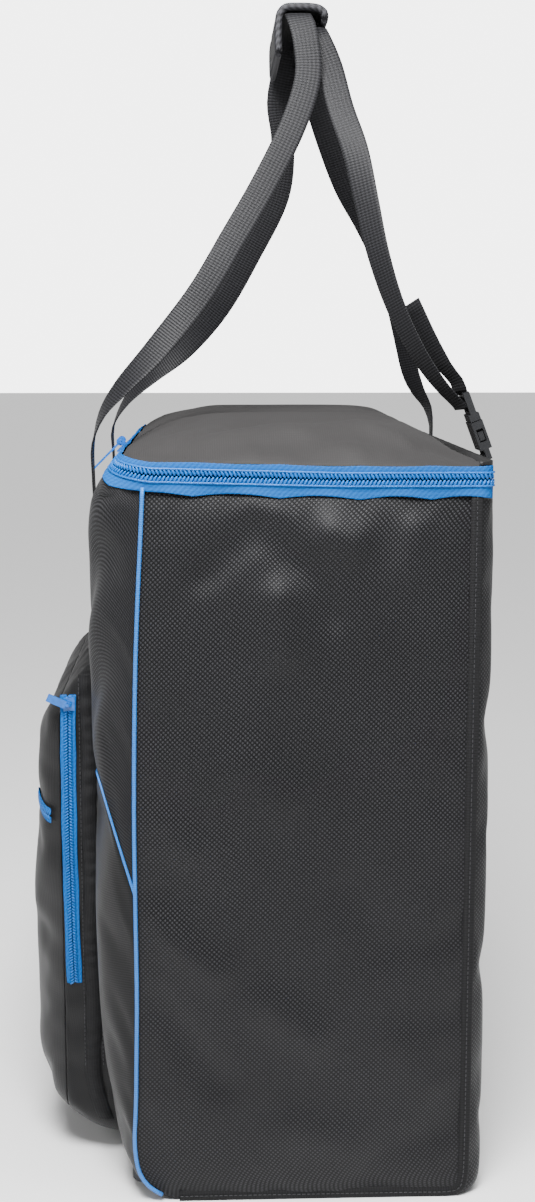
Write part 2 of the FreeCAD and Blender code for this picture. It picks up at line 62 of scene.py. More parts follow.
print("bag", END_X * 2, "by", REAR_Y - FRONT_Y, "rim at", RIM_Z)

# %% [markdown]
# ## Small tools
# Fabric, webbing and piping are all surfaces over a grid of two parameters, so one function turns a
# grid of points into a mesh. The alternative is to model by hand and subdivide, but a formula keeps
# each seam exactly on its neighbour. Texture coordinates are kept in real metres, so a weave has
# the same thread spacing on every piece.

# %% Surfaces from grids
def new_piece(name, points, faces):
    """A smooth object at the origin. One that stands for a CAD node has that node's name, with a word
    that says it is the sewn one."""
    name = name + "_made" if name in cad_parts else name
    mesh = bpy.data.meshes.new(name)
    mesh.from_pydata(points.reshape(-1, 3).tolist(), [], faces)
    mesh.shade_smooth()
    obj = bpy.data.objects.new(name, mesh)
    bpy.context.scene.collection.objects.link(obj)
    return obj


def lengths(points):
    """Metre coordinates of a grid: along each row from its first point, and up each column."""
    steps_across = np.linalg.norm(np.diff(points, axis=1), axis=2)
    steps_up = np.linalg.norm(np.diff(points, axis=0), axis=2)
    return np.stack([np.pad(np.cumsum(steps_across, axis=1), ((0, 0), (1, 0))),
                     np.pad(np.cumsum(steps_up, axis=0), ((1, 0), (0, 0)))], axis=-1)


def surface(name, points, uv=None, closed=False, weld=False, away=None):
    """A mesh of quads over a grid of points (rows, columns, 3). Closed joins the last row to the
    first. uv is a grid in metres, with one more row on a closed surface, or else the grid's own
    lengths. Away is a point that the faces of an open sheet look away from."""
    rows, columns = points.shape[:2]
    ids = np.arange(rows * columns).reshape(rows, columns)
    if closed:
        ids = np.vstack([ids, ids[:1]])
    places = np.arange(ids.size).reshape(ids.shape)
    quads, corners = (np.stack([grid[:-1, :-1], grid[1:, :-1], grid[1:, 1:], grid[:-1, 1:]], axis=-1)
                      for grid in (ids, places))
    obj = new_piece(name, points, quads.reshape(-1, 4).tolist())
    uv = lengths(points) if uv is None else uv
    layer = obj.data.uv_layers.new(name="UVMap")
    layer.data.foreach_set("uv", uv.reshape(-1, 2)[corners.reshape(-1)].astype(np.float32).ravel())
    if weld:
        join_doubles(obj)
    if away is not None:
        face_away(obj, away)
    return obj


def join_doubles(obj):
    """Merges points that lie together, which closes poles and caps, and points the faces outwards."""
    work = bmesh.new()
    work.from_mesh(obj.data)
    bmesh.ops.remove_doubles(work, verts=work.verts, dist=1e-6)
    bmesh.ops.dissolve_degenerate(work, edges=work.edges, dist=1e-7)
    bmesh.ops.recalc_face_normals(work, faces=work.faces)
    work.to_mesh(obj.data)
    work.free()


def rows_of(items, field):
    """Three numbers for each point or face of a mesh, as the rows of an array."""
    found = np.zeros(len(items) * 3, np.float32)
    items.foreach_get(field, found)
    return found.reshape(-1, 3)


def face_away(obj, centre):
    """Turns an open sheet's faces so that they look away from a point."""
    normals = rows_of(obj.data.polygons, "normal")
    middles = rows_of(obj.data.polygons, "center")
    if (normals * (middles - np.array(centre))).sum() < 0:
        obj.data.flip_normals()


def soften(obj, levels=1, thickness=0.0):
    """Gives a sheet its thickness, inwards, and subdivides it."""
    if thickness:
        solid = obj.modifiers.new("thickness", "SOLIDIFY")
        solid.thickness = thickness
        solid.offset = -1
    if levels:
        smooth = obj.modifiers.new("smooth", "SUBSURF")
        smooth.levels = levels
        smooth.render_levels = levels
    return obj


def dress(obj, body, slot, material, *replaced):
    """Paints a piece, ties it to a body and hides the plain nodes it stands for. Its slot is not used."""
    obj.data.materials.clear()
    obj.data.materials.append(material)
    if body:
        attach(obj, body)
    if replaced:
        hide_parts(*replaced)
    return obj


# %% Curves of one value
def ramp(values, start, stop):
    """0 before start, 1 past stop and straight between."""
    return np.clip((values - start) / (stop - start), 0, 1)


def bell(values, middle, width):
    """A bell-shaped curve that is 1 at its middle."""
    return np.exp(-((values - middle) / width) ** 2)


# %% Lines, tubes, straps and slabs
def unit(vectors):
    """Vectors scaled to length one."""
    return vectors / np.maximum(np.linalg.norm(vectors, axis=-1, keepdims=True), 1e-12)


def smooth_line(stations, step):
    """A Catmull-Rom curve through the stations: between two of them each value is the cubic that
    leaves and arrives along the chord of its neighbours. Sampled about every step."""
    given = np.array(stations, float)
    padded = np.vstack([2 * given[0] - given[1], given, 2 * given[-1] - given[-2]])
    runs = []
    for before, start, end, after in zip(padded, padded[1:], padded[2:], padded[3:]):
        count = max(2, int(np.linalg.norm((end - start)[:3]) / step))
        t = np.linspace(0, 1, count, endpoint=False)[:, None]
        runs.append(0.5 * (2 * start + (end - before) * t + (2 * before - 5 * start + 4 * end - after) * t ** 2
                           + (3 * start - before - 3 * end + after) * t ** 3))
    return np.vstack(runs + [given[-1:]])


def along(line):
    """How far along a line each point is."""
    return np.concatenate([[0], np.cumsum(np.linalg.norm(np.diff(line, axis=0), axis=1))])


def resampled(walked, values, places):
    """Rows of values, known where walked says, at other places along the walk."""
    return np.stack([np.interp(places, walked, column) for column in values.T], axis=-1)


def directions(line):
    """The line's direction at each point."""
    return unit(np.gradient(line, axis=0))


def everywhere(direction, line):
    """One direction, repeated for each point of a line."""
    return np.broadcast_to(np.array(direction, float), line.shape)


def carried(name, line, side, face, outline):
    """A closed outline carried along a line: point = line + side * outline x + face * outline y, and
    both ends drawn in to the middle. Texture runs across the outline and along the line."""
    ring = line[:, None] + side[:, None] * outline[None, :, :1] + face[:, None] * outline[None, :, 1:]
    ring = np.concatenate([np.repeat(line[:1, None], ring.shape[1], axis=1), ring,
                           np.repeat(line[-1:, None], ring.shape[1], axis=1)])
    around = along(np.vstack([outline, outline[:1]]))
    length = np.pad(along(line), 1, mode="edge")
    uv = np.stack(np.meshgrid(around, length, indexing="ij"), axis=-1)
    return surface(name, ring.transpose(1, 0, 2), uv, closed=True, weld=True)


def circle(radius, count=10):
    """An outline of points round a circle."""
    turn = np.linspace(0, 2 * np.pi, count, endpoint=False)
    return np.stack([np.cos(turn), np.sin(turn)], axis=1) * radius


def tube(name, stations, radius):
    """A round cord along a smooth line: its side and face are both square to the line."""
    line = smooth_line(stations, 0.006)
    forward = directions(line)
    side = unit(np.cross(forward, np.array([0.36, 0.48, 0.8])))
    return carried(name, line, side, np.cross(forward, side), circle(radius))


def flat_outline(half_wide, half_thick, soft=0.5):
    """A strap's section: flat faces and rounded edges, as an ellipse squared off."""
    turn = np.linspace(0, 2 * np.pi, 20, endpoint=False)
    shape = np.stack([np.cos(turn), np.sin(turn)], axis=1)
    return np.sign(shape) * np.abs(shape) ** np.array([soft, 0.7]) * np.array([half_wide, half_thick])


def round_box(half_x, half_y, radius, count=6):
    """The outline of a rectangle with arcs for corners."""
    turn = np.linspace(0, np.pi / 2, count)
    arc = np.stack([np.cos(turn), np.sin(turn)], axis=1) * radius
    points = []
    for quarter in range(4):
        c, s = round(math.cos(quarter * np.pi / 2)), round(math.sin(quarter * np.pi / 2))
        centre = np.array([(1 if quarter in (0, 3) else -1) * (half_x - radius),
                           (1 if quarter in (0, 1) else -1) * (half_y - radius)])
        points.append(centre + arc @ np.array([[c, s], [-s, c]]))
    return np.vstack(points)


def slab(name, outline, thick, edge, origin, x_axis, y_axis):
    """A flat piece of one outline with a rounded edge: rings go in from the edge by r(1 - cos) and up
    by r sin, then shrink to the middle."""
    x_axis, y_axis = np.array(x_axis, float), np.array(y_axis, float)
    z_axis = np.cross(x_axis, y_axis)
    middle = outline.mean(axis=0)
    tangent = unit(np.roll(outline, -1, axis=0) - np.roll(outline, 1, axis=0))
    outward = np.stack([tangent[:, 1], -tangent[:, 0]], axis=1)
    if ((outline - middle) * outward).sum() < 0:
        outward = -outward
    rings = []
    for turn in np.linspace(-np.pi / 2, np.pi / 2, 7):
        height = math.copysign(thick / 2 - edge, turn) if abs(turn) > 1e-6 else 0.0
        rings.append((outline - outward * edge * (1 - math.cos(turn)), height + edge * math.sin(turn)))
    for share in (0.8, 0.5, 0.2, 0.0):
        inner = middle + (rings[6][0] - middle) * share
        rings.append((inner, thick / 2))
        rings.insert(0, (inner, -thick / 2))
    flat = np.stack([np.concatenate([ring, np.full((len(ring), 1), height)], axis=1)
                     for ring, height in rings], axis=1)
    points = np.array(origin) + flat[..., :1] * x_axis + flat[..., 1:2] * y_axis + flat[..., 2:] * z_axis
    uv = np.concatenate([flat, flat[:1]])[..., :2]
    return surface(name, points, uv, closed=True, weld=True)


# %% [markdown]
# ## Cloth that settles
# Sewn fabric is never flat: it is held at its seams and pushed from inside by foam and load, and it
# is a little larger than the frame that holds it. Cloth simulation gives just that. The seams are
# pinned, the fabric grows by one or two percent, a light pressure pushes it out, and after twenty
# frames the result is kept. No point may move further than a cap, so the cloth stays in its space.

# %% Settle several cloths at once
FRAMES = 20
waiting = []


def to_settle(obj, held, pressure, growth, cap, bending=2.0):
    """Queues a sheet for the simulation. Held is true, or 1, where a point is pinned."""
    waiting.append((obj, cap, rows_of(obj.data.vertices, "co").astype(float)))
    group = obj.vertex_groups.new(name="held")
    group.add(np.flatnonzero(held).tolist(), 1.0, "REPLACE")
    cloth = obj.modifiers.new("cloth", "CLOTH")
    cloth.settings.vertex_group_mass = "held"
    cloth.settings.quality = 5
    cloth.settings.mass = 0.3
    cloth.settings.tension_stiffness = 20
    cloth.settings.compression_stiffness = 20
    cloth.settings.shear_stiffness = 8
    cloth.settings.bending_stiffness = bending
    cloth.settings.shrink_min = -growth
    cloth.settings.use_pressure = True
    cloth.settings.uniform_pressure_force = pressure
    cloth.settings.effector_weights.gravity = 0
    cloth.collision_settings.use_collision = False


def settle_all():
    """Runs the queued cloths together, then keeps their shapes within their caps."""
    for number in range(1, FRAMES + 1):
        bpy.context.scene.frame_set(number)
    graph = bpy.context.evaluated_depsgraph_get()
    for obj, cap, rest in waiting:
        settled = obj.evaluated_get(graph)
        step = rows_of(settled.to_mesh().vertices, "co") - rest
        settled.to_mesh_clear()
        size = np.linalg.norm(step, axis=1, keepdims=True)
        step = step * (cap * np.tanh(size / cap) / np.maximum(size, 1e-9))
        obj.modifiers.remove(obj.modifiers["cloth"])
        obj.data.vertices.foreach_set("co", (rest + step).astype(np.float32).ravel())
        obj.data.update()
        print(obj.name, "moved up to", round(float(size.max()) * 1000, 1), "mm")
        obj.vertex_groups.clear()
    waiting.clear()
    bpy.context.scene.frame_set(1)


def folds(a, b, ridges):
    """Height of a set of soft folds at places (a, b): each is a line from one point to another with a
    bell-shaped section, which fades towards its ends."""
    height = np.zeros_like(a)
    for a0, b0, a1, b1, width, rise in ridges:
        length = math.hypot(a1 - a0, b1 - b0)
        t = ((a - a0) * (a1 - a0) + (b - b0) * (b1 - b0)) / length ** 2
        off = ((a - a0) * (b1 - b0) - (b - b0) * (a1 - a0)) / length
        fade = np.exp(-np.maximum(np.abs(t - 0.5) - 0.35, 0) ** 2 / 0.03)
        height += rise * fade * bell(off, 0, width)
    return height


# %% [markdown]
# ## Finishes
# Each finish starts from the real stuff: what it is made of and how its surface was made. Weaves are
# waves across the piece's own metre coordinates, so threads follow the cloth round its folds. The
# real threads are finer than one sample of the render, so every pitch is drawn coarser than it is,
# which keeps the look of a weave without shimmer.

# %% Colour and node helpers
def linear(code):
    """An sRGB hex colour as linear light: c / 12.92 when dark, else ((c + 0.055) / 1.055) ^ 2.4."""
    c = np.array([int(code[i:i + 2], 16) for i in (1, 3, 5)]) / 255
    return (*np.where(c <= 0.04045, c / 12.92, ((c + 0.055) / 1.055) ** 2.4).tolist(), 1.0)


def add(tree, kind, values=(), links=(), **settings):
    """Adds one node: settings are its options, values its numbers and links the outputs it takes."""
    made = tree.nodes.new(kind)
    for option, choice in settings.items():
        setattr(made, option, choice)
    for socket, value in dict(values).items():
        made.inputs[socket].default_value = value
    for socket, source in dict(links).items():
        tree.links.new(source, made.inputs[socket])
    return made


def new_finish(name, colour, **numbers):
    """A material whose numbers are set on its shader's own sockets."""
    material = bpy.data.materials.new(name)
    material.use_nodes = True
    shader = material.node_tree.nodes["Principled BSDF"]
    shader.inputs["Base Color"].default_value = linear(colour)
    for socket, value in numbers.items():
        shader.inputs[socket.replace("_", " ").title().replace("Ior", "IOR")].default_value = value
    return material


# %% Patterns
# A wave texture has one band for each 2 pi / 20 of its scaled coordinate.
WAVE_PHASE = 20 / (2 * math.pi)


def finish_cloth(material, mask, dark, light, relief, painted_shade_amount):
    """Colours a material by a 0 to 1 mask between two hex colours, paints shade and highlight in random
    patches a few centimetres across, standing in for the shading of soft folds, and raises the mask by relief
    metres."""
    tree = material.node_tree
    shader = tree.nodes["Principled BSDF"]
    place = add(tree, "ShaderNodeTexCoord")
    # Painted shade and highlight: random patches a few centimetres across, lighter and darker, stand in for
    # the shading of soft folds.
    painted_shade_patches = add(tree, "ShaderNodeTexNoise", {"Scale": 14, "Detail": 3}, {"Vector": place.outputs["Object"]})
    painted_shade_tone = add(tree, "ShaderNodeMapRange", {"From Min": 0.3, "From Max": 0.7, "To Min": 1 - painted_shade_amount,
                                            "To Max": 1 + painted_shade_amount}, {"Value": painted_shade_patches.outputs["Fac"]})
    threads = add(tree, "ShaderNodeMix", {6: linear(dark), 7: linear(light)}, {0: mask}, data_type="RGBA")
    toned = add(tree, "ShaderNodeVectorMath", (), {0: threads.outputs[2], 1: painted_shade_tone.outputs[0]},
                operation="MULTIPLY")
    bump = add(tree, "ShaderNodeBump", {"Strength": 0.8, "Distance": relief}, {"Height": mask})
    tree.links.new(toned.outputs[0], shader.inputs["Base Color"])
    tree.links.new(bump.outputs[0], shader.inputs["Normal"])
    return material


def woven(name, dark, light, pitch, relief, turn=45, painted_shade_amount=0.12, **numbers):
    """Cloth of crossing threads: two sets of waves a pitch apart, turned by some degrees, and where
    both are high a thread float shows."""
    material = new_finish(name, light, **numbers)
    tree = material.node_tree
    flat = add(tree, "ShaderNodeUVMap")
    turned = add(tree, "ShaderNodeMapping", {"Rotation": (0, 0, math.radians(turn))},
                 {"Vector": flat.outputs[0]})
    waves = [add(tree, "ShaderNodeTexWave",
                 {"Scale": 1 / (pitch * WAVE_PHASE), "Distortion": 0.6, "Detail": 1, "Detail Scale": 0.4},
                 {"Vector": turned.outputs[0]}, bands_direction=way) for way in ("X", "Y")]
    floats = add(tree, "ShaderNodeMath", (), {0: waves[0].outputs["Fac"], 1: waves[1].outputs["Fac"]},
                 operation="MULTIPLY")
    return finish_cloth(material, floats.outputs[0], dark, light, relief, painted_shade_amount)


def ribbed(name, dark, light, pitch, relief, ribs_run="Y", **numbers):
    """Narrow woven tape: ribs a pitch apart across its length, with a finer wave across its width."""
    material = new_finish(name, light, **numbers)
    tree = material.node_tree
    flat = add(tree, "ShaderNodeUVMap")
    ribs = add(tree, "ShaderNodeTexWave",
               {"Scale": 1 / (pitch * WAVE_PHASE), "Distortion": 1.0, "Detail": 1, "Detail Scale": 0.5},
               {"Vector": flat.outputs[0]}, bands_direction=ribs_run)
    warp = add(tree, "ShaderNodeTexWave", {"Scale": 1 / (1.4 * pitch * WAVE_PHASE), "Distortion": 0.5},
               {"Vector": flat.outputs[0]}, bands_direction="X")
    both = add(tree, "ShaderNodeMix", {0: 0.3}, {2: ribs.outputs["Fac"], 3: warp.outputs["Fac"]})
    return finish_cloth(material, both.outputs[0], dark, light, relief, painted_shade_amount=0.1)


def grained(name, dark, light, grain, relief, **numbers):
    """Moulded or painted stuff: a fine noise with cells one grain across, as a spark-eroded mould or
    a sprayed coat leaves."""
    material = new_finish(name, light, **numbers)
    tree = material.node_tree
    place = add(tree, "ShaderNodeTexCoord")
    specks = add(tree, "ShaderNodeTexNoise", {"Scale": 1 / grain, "Detail": 2},
                 {"Vector": place.outputs["Object"]})
    mask = add(tree, "ShaderNodeMapRange", {"From Min": 0.3, "From Max": 0.7},
               {"Value": specks.outputs["Fac"]})
    return finish_cloth(material, mask.outputs[0], dark, light, relief, painted_shade_amount=0.06)


# %% The bag's cloths
# Polyester dobby: charcoal floats on a black ground, pitch 1.6 mm drawn at 2.4; slightly shiny yarn.
DOBBY = woven("polyester_dobby", "#040405", "#303033", 2.4 * MM, 0.3 * MM, roughness=0.5, sheen_weight=0.04,
              sheen_roughness=0.5, specular_ior_level=0.16)
# Plain black polyester: a fine matte cloth for the pocket and the lower front, drawn at 1.8 mm.
PLAIN = woven("plain_polyester", "#040405", "#0e0e10", 1.8 * MM, 0.12 * MM, turn=0, roughness=0.5,
              sheen_weight=0.04, sheen_roughness=0.6, specular_ior_level=0.2)
# Brushed polyester: the smooth grey lid cloth, fine enough to look even. Drawn at 1.6 mm.
BRUSHED = woven("brushed_polyester", "#1f1e1e", "#2b2929", 1.6 * MM, 0.08 * MM, turn=0, painted_shade_amount=0.05,
                roughness=0.7, sheen_weight=0.05, sheen_roughness=0.5, specular_ior_level=0.25)
# Grip cloth: a tight polyester canvas over the foam, drawn at 1.8 mm.
CANVAS = woven("grip_canvas", "#08080a", "#1d1d20", 1.8 * MM, 0.2 * MM, roughness=0.6, sheen_weight=0.04,
               specular_ior_level=0.25)
# Taffeta lining: thin and close, a darker grey with a soft gloss, drawn at 1.5 mm.
TAFFETA = woven("taffeta_lining", "#0f1012", "#1a1b1e", 1.5 * MM, 0.05 * MM, turn=0, roughness=0.5,
                sheen_weight=0.05, specular_ior_level=0.25)

# %% The bag's tapes
# Knitted zip tape: azure polyester with a rib every 1.2 mm, drawn at 2.
TAPE = ribbed("blue_zip_tape", "#00488a", "#0059a2", 2.0 * MM, 0.15 * MM, "DIAGONAL", roughness=0.7,
              specular_ior_level=0.15)
# Covered piping: azure tape folded over a cord, so it is round with a fine rib, drawn at 1.6 mm.
PIPING = ribbed("blue_piping_cloth", "#0058a6", "#0a70c2", 1.6 * MM, 0.15 * MM, roughness=0.5,
                sheen_weight=0.05)
# Polypropylene binding tape: black, flat and ribbed across, drawn at 2 mm.
BINDING = ribbed("black_binding_tape", "#050506", "#151517", 2.0 * MM, 0.15 * MM, roughness=0.75,
                 specular_ior_level=0.25)
# Polypropylene webbing: heavy ribs every 1.1 mm, drawn at 2.2, on charcoal yarn with some gloss.
WEBBING = ribbed("ribbed_webbing", "#040405", "#222225", 2.2 * MM, 0.3 * MM, roughness=0.5,
                 sheen_weight=0.04, specular_ior_level=0.15)
# Herringbone tape round the grip's edge: slanting ribs, drawn at 2.6 mm.
HERRINGBONE = ribbed("herringbone_tape", "#08080a", "#36363a", 2.6 * MM, 0.2 * MM, "DIAGONAL",
                     roughness=0.65, specular_ior_level=0.25)

# %% The bag's moulded and painted stuff
# Nylon coil: extruded monofilament, so smooth and a little glossy.
COIL = grained("blue_nylon_coil", "#004f98", "#0062b0", 1.5 * MM, 0.02 * MM, roughness=0.42,
               specular_ior_level=0.3)
# Enamelled zinc: sprayed and baked, with a clear gloss over the blue.
ENAMEL = grained("blue_enamelled_zinc", "#00509e", "#0062b8", 2.5 * MM, 0.02 * MM, roughness=0.3,
                 coat_weight=0.6, coat_roughness=0.15)
# Closed-cell foam and sheet polyethylene: cells about a millimetre across, and a leathery grain.
FOAM = grained("closed_cell_foam", "#242527", "#36373a", 1.2 * MM, 0.3 * MM, roughness=0.95,
               specular_ior_level=0.25)
BOARD = grained("polyethylene_board", "#0b0b0c", "#131315", 0.9 * MM, 0.08 * MM, roughness=0.5)
# Acetal: injection moulded, dark grey, with a fine eroded texture and a low sheen.
ACETAL = grained("moulded_acetal", "#121315", "#1a1b1e", 0.6 * MM, 0.03 * MM, roughness=0.42)
# Bonded polyester thread: charcoal, with the gloss of the bonding.
THREAD = grained("bonded_thread", "#1a1a1c", "#2c2c30", 0.8 * MM, 0.02 * MM, roughness=0.5)
print(len(bpy.data.materials), "finishes")

# %% [markdown]
# ## The shell
# The real shell is five cloth panels sewn along piping and binding over foam. One box with rounded
# edges would look moulded, so each panel is its own sheet over a grid. Neighbours share a seam line,
# a formula of height, and the front is slimmer at the foot, as the foam is. Every border is pinned
# while the cloth settles, which keeps the seams closed.

# %% Seam lines
# Each row is a height and how far forward or back the line is there.
FRONT_FACE = np.array([(0, -108), (3, -119), (9, -128), (20, -135), (36, -140), (60, -144), (90, -149),
                       (150, -153), (220, -155), (526, -155)]) * MM
FRONT_SEAM = np.array([(0, -100), (8, -117), (18, -126), (40, -131), (80, -129), (156, -127.5), (306, -128),
                       (420, -125), (526, -119)]) * MM
# In metres: where the rear seam is, how high the end and front cloths reach, how far the front leans in
# to the zip over its lip, how far the cloths clear the ground, where the webbing is sewn and the height
# down to which cloth is held under it, and the front corners' share of the cloth and their width.
REAR_EDGE = 0.1135
END_TOP = 0.527
FRONT_TOP = 0.5365
FRONT_LEAN = 0.008
LIP = 0.024
FOOT = 0.0006
STRAP_X = 0.125
STRAP_FOOT = 0.372
CORNER_SHARE = 0.1
CORNER_WIDE = 0.028


def front_at(z):
    """How far forward the front face is at a height."""
    return np.interp(z, FRONT_FACE[:, 0], FRONT_FACE[:, 1])


def seam_at(z):
    """Where the piping between front and end runs at a height."""
    return np.interp(z, FRONT_SEAM[:, 0], FRONT_SEAM[:, 1])


def corner_turn(across, share):
    """How far a cloth has turned its side corners, 0 to a right angle, over the outer share of its
    width. Across goes -1 to 1, seam to seam."""
    return ramp(np.abs(across), 1 - share, 1) * np.pi / 2


def front_wrap(low, high, rows):
    """The front cloth between two height curves: in the outer tenths it turns the corner as a quarter
    ellipse, and between them it is straight. The top leans in to the zip by a smooth step."""
    turn = corner_turn(ACROSS, CORNER_SHARE)
    straight = END_X - CORNER_WIDE
    inner = 1 - CORNER_SHARE
    x = np.sign(ACROSS) * np.where(np.abs(ACROSS) < inner, np.abs(ACROSS) / inner * straight,
                                   straight + CORNER_WIDE * np.sin(turn))
    z = low + (high - low) * np.linspace(0, 1, rows)[:, None]
    forward = front_at(z) - seam_at(z) + FRONT_LEAN * ramp(z, FRONT_TOP - LIP, FRONT_TOP) ** 2
    return np.stack([np.broadcast_to(x, z.shape), seam_at(z) + forward * np.cos(turn), z], axis=-1)


def spread(share, corner_count, middle_count):
    """Columns of a cloth from -1 to 1, closer together in its corners' share."""
    return np.concatenate([np.linspace(-1, share - 1, corner_count)[:-1],
                           np.linspace(share - 1, 1 - share, middle_count),
                           np.linspace(1 - share, 1, corner_count)[1:]])


ACROSS = spread(CORNER_SHARE, 7, 61)
FROM_SEAM = 1 - np.abs(ACROSS)
TOP_OF_FRONT = END_TOP + (FRONT_TOP - END_TOP) * np.sin(ramp(FROM_SEAM, 0, CORNER_SHARE) * np.pi / 2)
SEAM_LOW = 0.236
SEAM_ARCH = 0.084
SEAM_HEIGHT = SEAM_LOW + SEAM_ARCH * np.sin(ramp(FROM_SEAM, 0, 0.09) * np.pi / 2)
print("front cloth", len(ACROSS), "columns, seam at", SEAM_HEIGHT.min(), "to", SEAM_HEIGHT.max())


def border(grid):
    """1 on the outer rows and columns of a grid of points, 0 inside."""
    held = np.zeros(grid.shape[:2])
    held[[0, -1]] = 1
    held[:, [0, -1]] = 1
    return held


def under_strap(x):
    """True where the sewn webbing lies over a cloth."""
    return np.abs(np.abs(x) - STRAP_X) < 0.014


# %% Front, lower front and rear cloths
CENTRE = (0, -0.02, 0.28)
upper = front_wrap(SEAM_HEIGHT, TOP_OF_FRONT, 42)
height = upper[..., 2]
slanting = np.sin((height + 0.42 * FROM_SEAM) * 2 * np.pi / 0.088)
corner_fold = (0.0024 * np.sin(np.pi * ramp(FROM_SEAM, 0, 0.16)) * slanting
               * ramp(height, 0.52, 0.49) * ramp(height, 0.33, 0.38))
turn = corner_turn(ACROSS, CORNER_SHARE)
outwards = np.stack([np.sign(ACROSS) * np.sin(turn), -np.cos(turn)], axis=-1)
upper[..., :2] += outwards * corner_fold[..., None]
gathers = 0.0009 * np.sin(ACROSS * 95 + np.sin(ACROSS * 31) * 2) * bell(height, 0.522, 0.012)
upper[:-1, :, 1] -= gathers[:-1]
upper[..., :2] *= 1 - 0.007 * ramp(upper[..., 2:], 0.513, 0.525)
front_panel = surface("front_panel", upper, away=CENTRE)
sewn = under_strap(upper[..., 0]) & (height > STRAP_FOOT)
to_settle(front_panel, np.maximum(border(upper), sewn), 2.0, 0.016, 0.006)

lower = front_wrap(np.full(len(ACROSS), FOOT), SEAM_HEIGHT, 34)
front_lower_panel = surface("front_lower_panel", lower, away=CENTRE)
to_settle(front_lower_panel, border(lower), 2.0, 0.008, 0.005)

REAR_CORNER_SHARE = 0.05
FOOT_ROUND = 0.010


def rear_wrap():
    """The rear cloth: straight, with a quarter circle at each side and the same round at the foot."""
    across = spread(REAR_CORNER_SHARE, 6, 51)
    turn = corner_turn(across, REAR_CORNER_SHARE)
    radius = REAR_Y - REAR_EDGE
    straight = END_X - radius
    x = np.sign(across) * np.where(turn > 0, straight + radius * np.sin(turn),
                                   np.abs(across) / (1 - REAR_CORNER_SHARE) * straight)
    z = np.linspace(0, 1, 56)[:, None] ** 1.15 * END_TOP + FOOT
    tucked = FOOT_ROUND * (1 - np.sqrt(1 - ramp(z, FOOT_ROUND, 0) ** 2))
    y = REAR_EDGE + radius * np.cos(turn) - tucked
    return np.stack([np.broadcast_to(x, y.shape), y, np.broadcast_to(z, y.shape)], axis=-1)


rear = rear_wrap()
rear_panel = surface("rear_panel", rear, away=CENTRE)
to_settle(rear_panel, np.maximum(border(rear), under_strap(rear[..., 0])), 1.0, 0.010, 0.004)
print("front and rear cloths", upper.shape, lower.shape, rear.shape)

# %% [markdown]
# ## The end panels
# Each end carries the folds of a bag that has been squashed and opened: a long valley in the shape of
# a steep roof under the zip, soft ridges either side of it, and curved folds that start at the
# piping. Each is drawn as a line with a bell-shaped section, on both ends alike.

# %% Folded end cloths
END_FOLDS = np.array([
    # from y, z, to y, z, width, rise (mm)
    (-40, 502, -82, 462, 9, -4.0), (-40, 502, -2, 466, 9, -3.4), (-2, 468, 16, 430, 8, -2.0),
    (-26, 462, -22, 404, 16, 3.0), (-48, 519, -22, 506, 7, 1.6), (2, 500, 34, 486, 15, 3.0),
    (72, 508, 60, 460, 12, 1.8), (103, 360, 98, 330, 8, -1.8), (118, 386, 106, 362, 7, -1.6),
    (94, 326, 88, 300, 8, -1.4), (-121, 228, -96, 196, 11, 2.6), (-96, 196, -62, 174, 13, 2.0),
    (-119, 166, -92, 126, 10, -2.8), (-92, 126, -62, 86, 12, -2.2), (-42, 162, 8, 120, 16, 2.0),
    (-112, 300, -84, 262, 12, 1.4), (-60, 340, -10, 300, 22, 1.6), (20, 250, 60, 190, 20, -1.2),
    (-30, 60, 40, 44, 18, 1.4), (60, 130, 92, 80, 16, 1.2),
]) * MM
# The cloth is creased hard, so folds are a little narrower and much deeper than a slack cloth's.
CREASED = np.array([1, 1, 1, 1, 0.9, 2.3])
FOAM_GIVE = 2.4 * MM


def end_sheet(side):
    """An end cloth: y from the front seam to the rear binding, z up, and x at the bag's end plus the
    folds and a row of small gathers under the zip. Valleys go no deeper than the foam gives."""
    across = np.linspace(0, 1, 34)
    up = np.linspace(0, 1, 66)[:, None]
    z = up * (END_TOP - FOOT) + FOOT
    y = seam_at(z) + (REAR_EDGE - seam_at(z)) * across
    z = np.broadcast_to(z, y.shape)
    gathered = bell(z, 0.511, 0.013) * (bell(y, -0.100, 0.014) + bell(y, 0, 0.016) + bell(y, 0.092, 0.018))
    rise = folds(y, z, END_FOLDS * CREASED) + 0.0024 * gathered * np.sin(y / 0.0024 + 9 * (z - 0.5) / 0.03)
    rise = rise + 0.0038 * np.sin(np.pi * across) * np.sin(np.pi * up) ** 0.5
    rise = rise * ramp(np.minimum(across, 1 - across), 0, 1 / 8) * ramp(np.minimum(up, 1 - up), 0, 1 / 20)
    rise = np.where(rise < 0, FOAM_GIVE * np.tanh(rise / FOAM_GIVE), rise)
    drawn_in = 0.0014 * ramp(z, 0.513, 0.525)
    return np.stack([side * (END_X - drawn_in + rise), y, z], axis=-1)


SIDES = ((1, "right"), (-1, "left"))
end_panels = {}
for side, word in SIDES:
    cloth = end_sheet(side)
    end_panels[word] = surface("end_panel_" + word, cloth, away=CENTRE)
    to_settle(end_panels[word], border(cloth), 1.5, 0.010, 0.004, bending=4.0)
print("end cloths", cloth.shape)

# %% [markdown]
# ## The lid
# The lid is a foam-filled dome, crowned along the bag and pulled in at the zip. A square grid is laid
# over it: the outermost ring follows the zip, and each ring inside is the same outline, smaller, so
# there is no pole to pinch and the cloth can settle evenly.

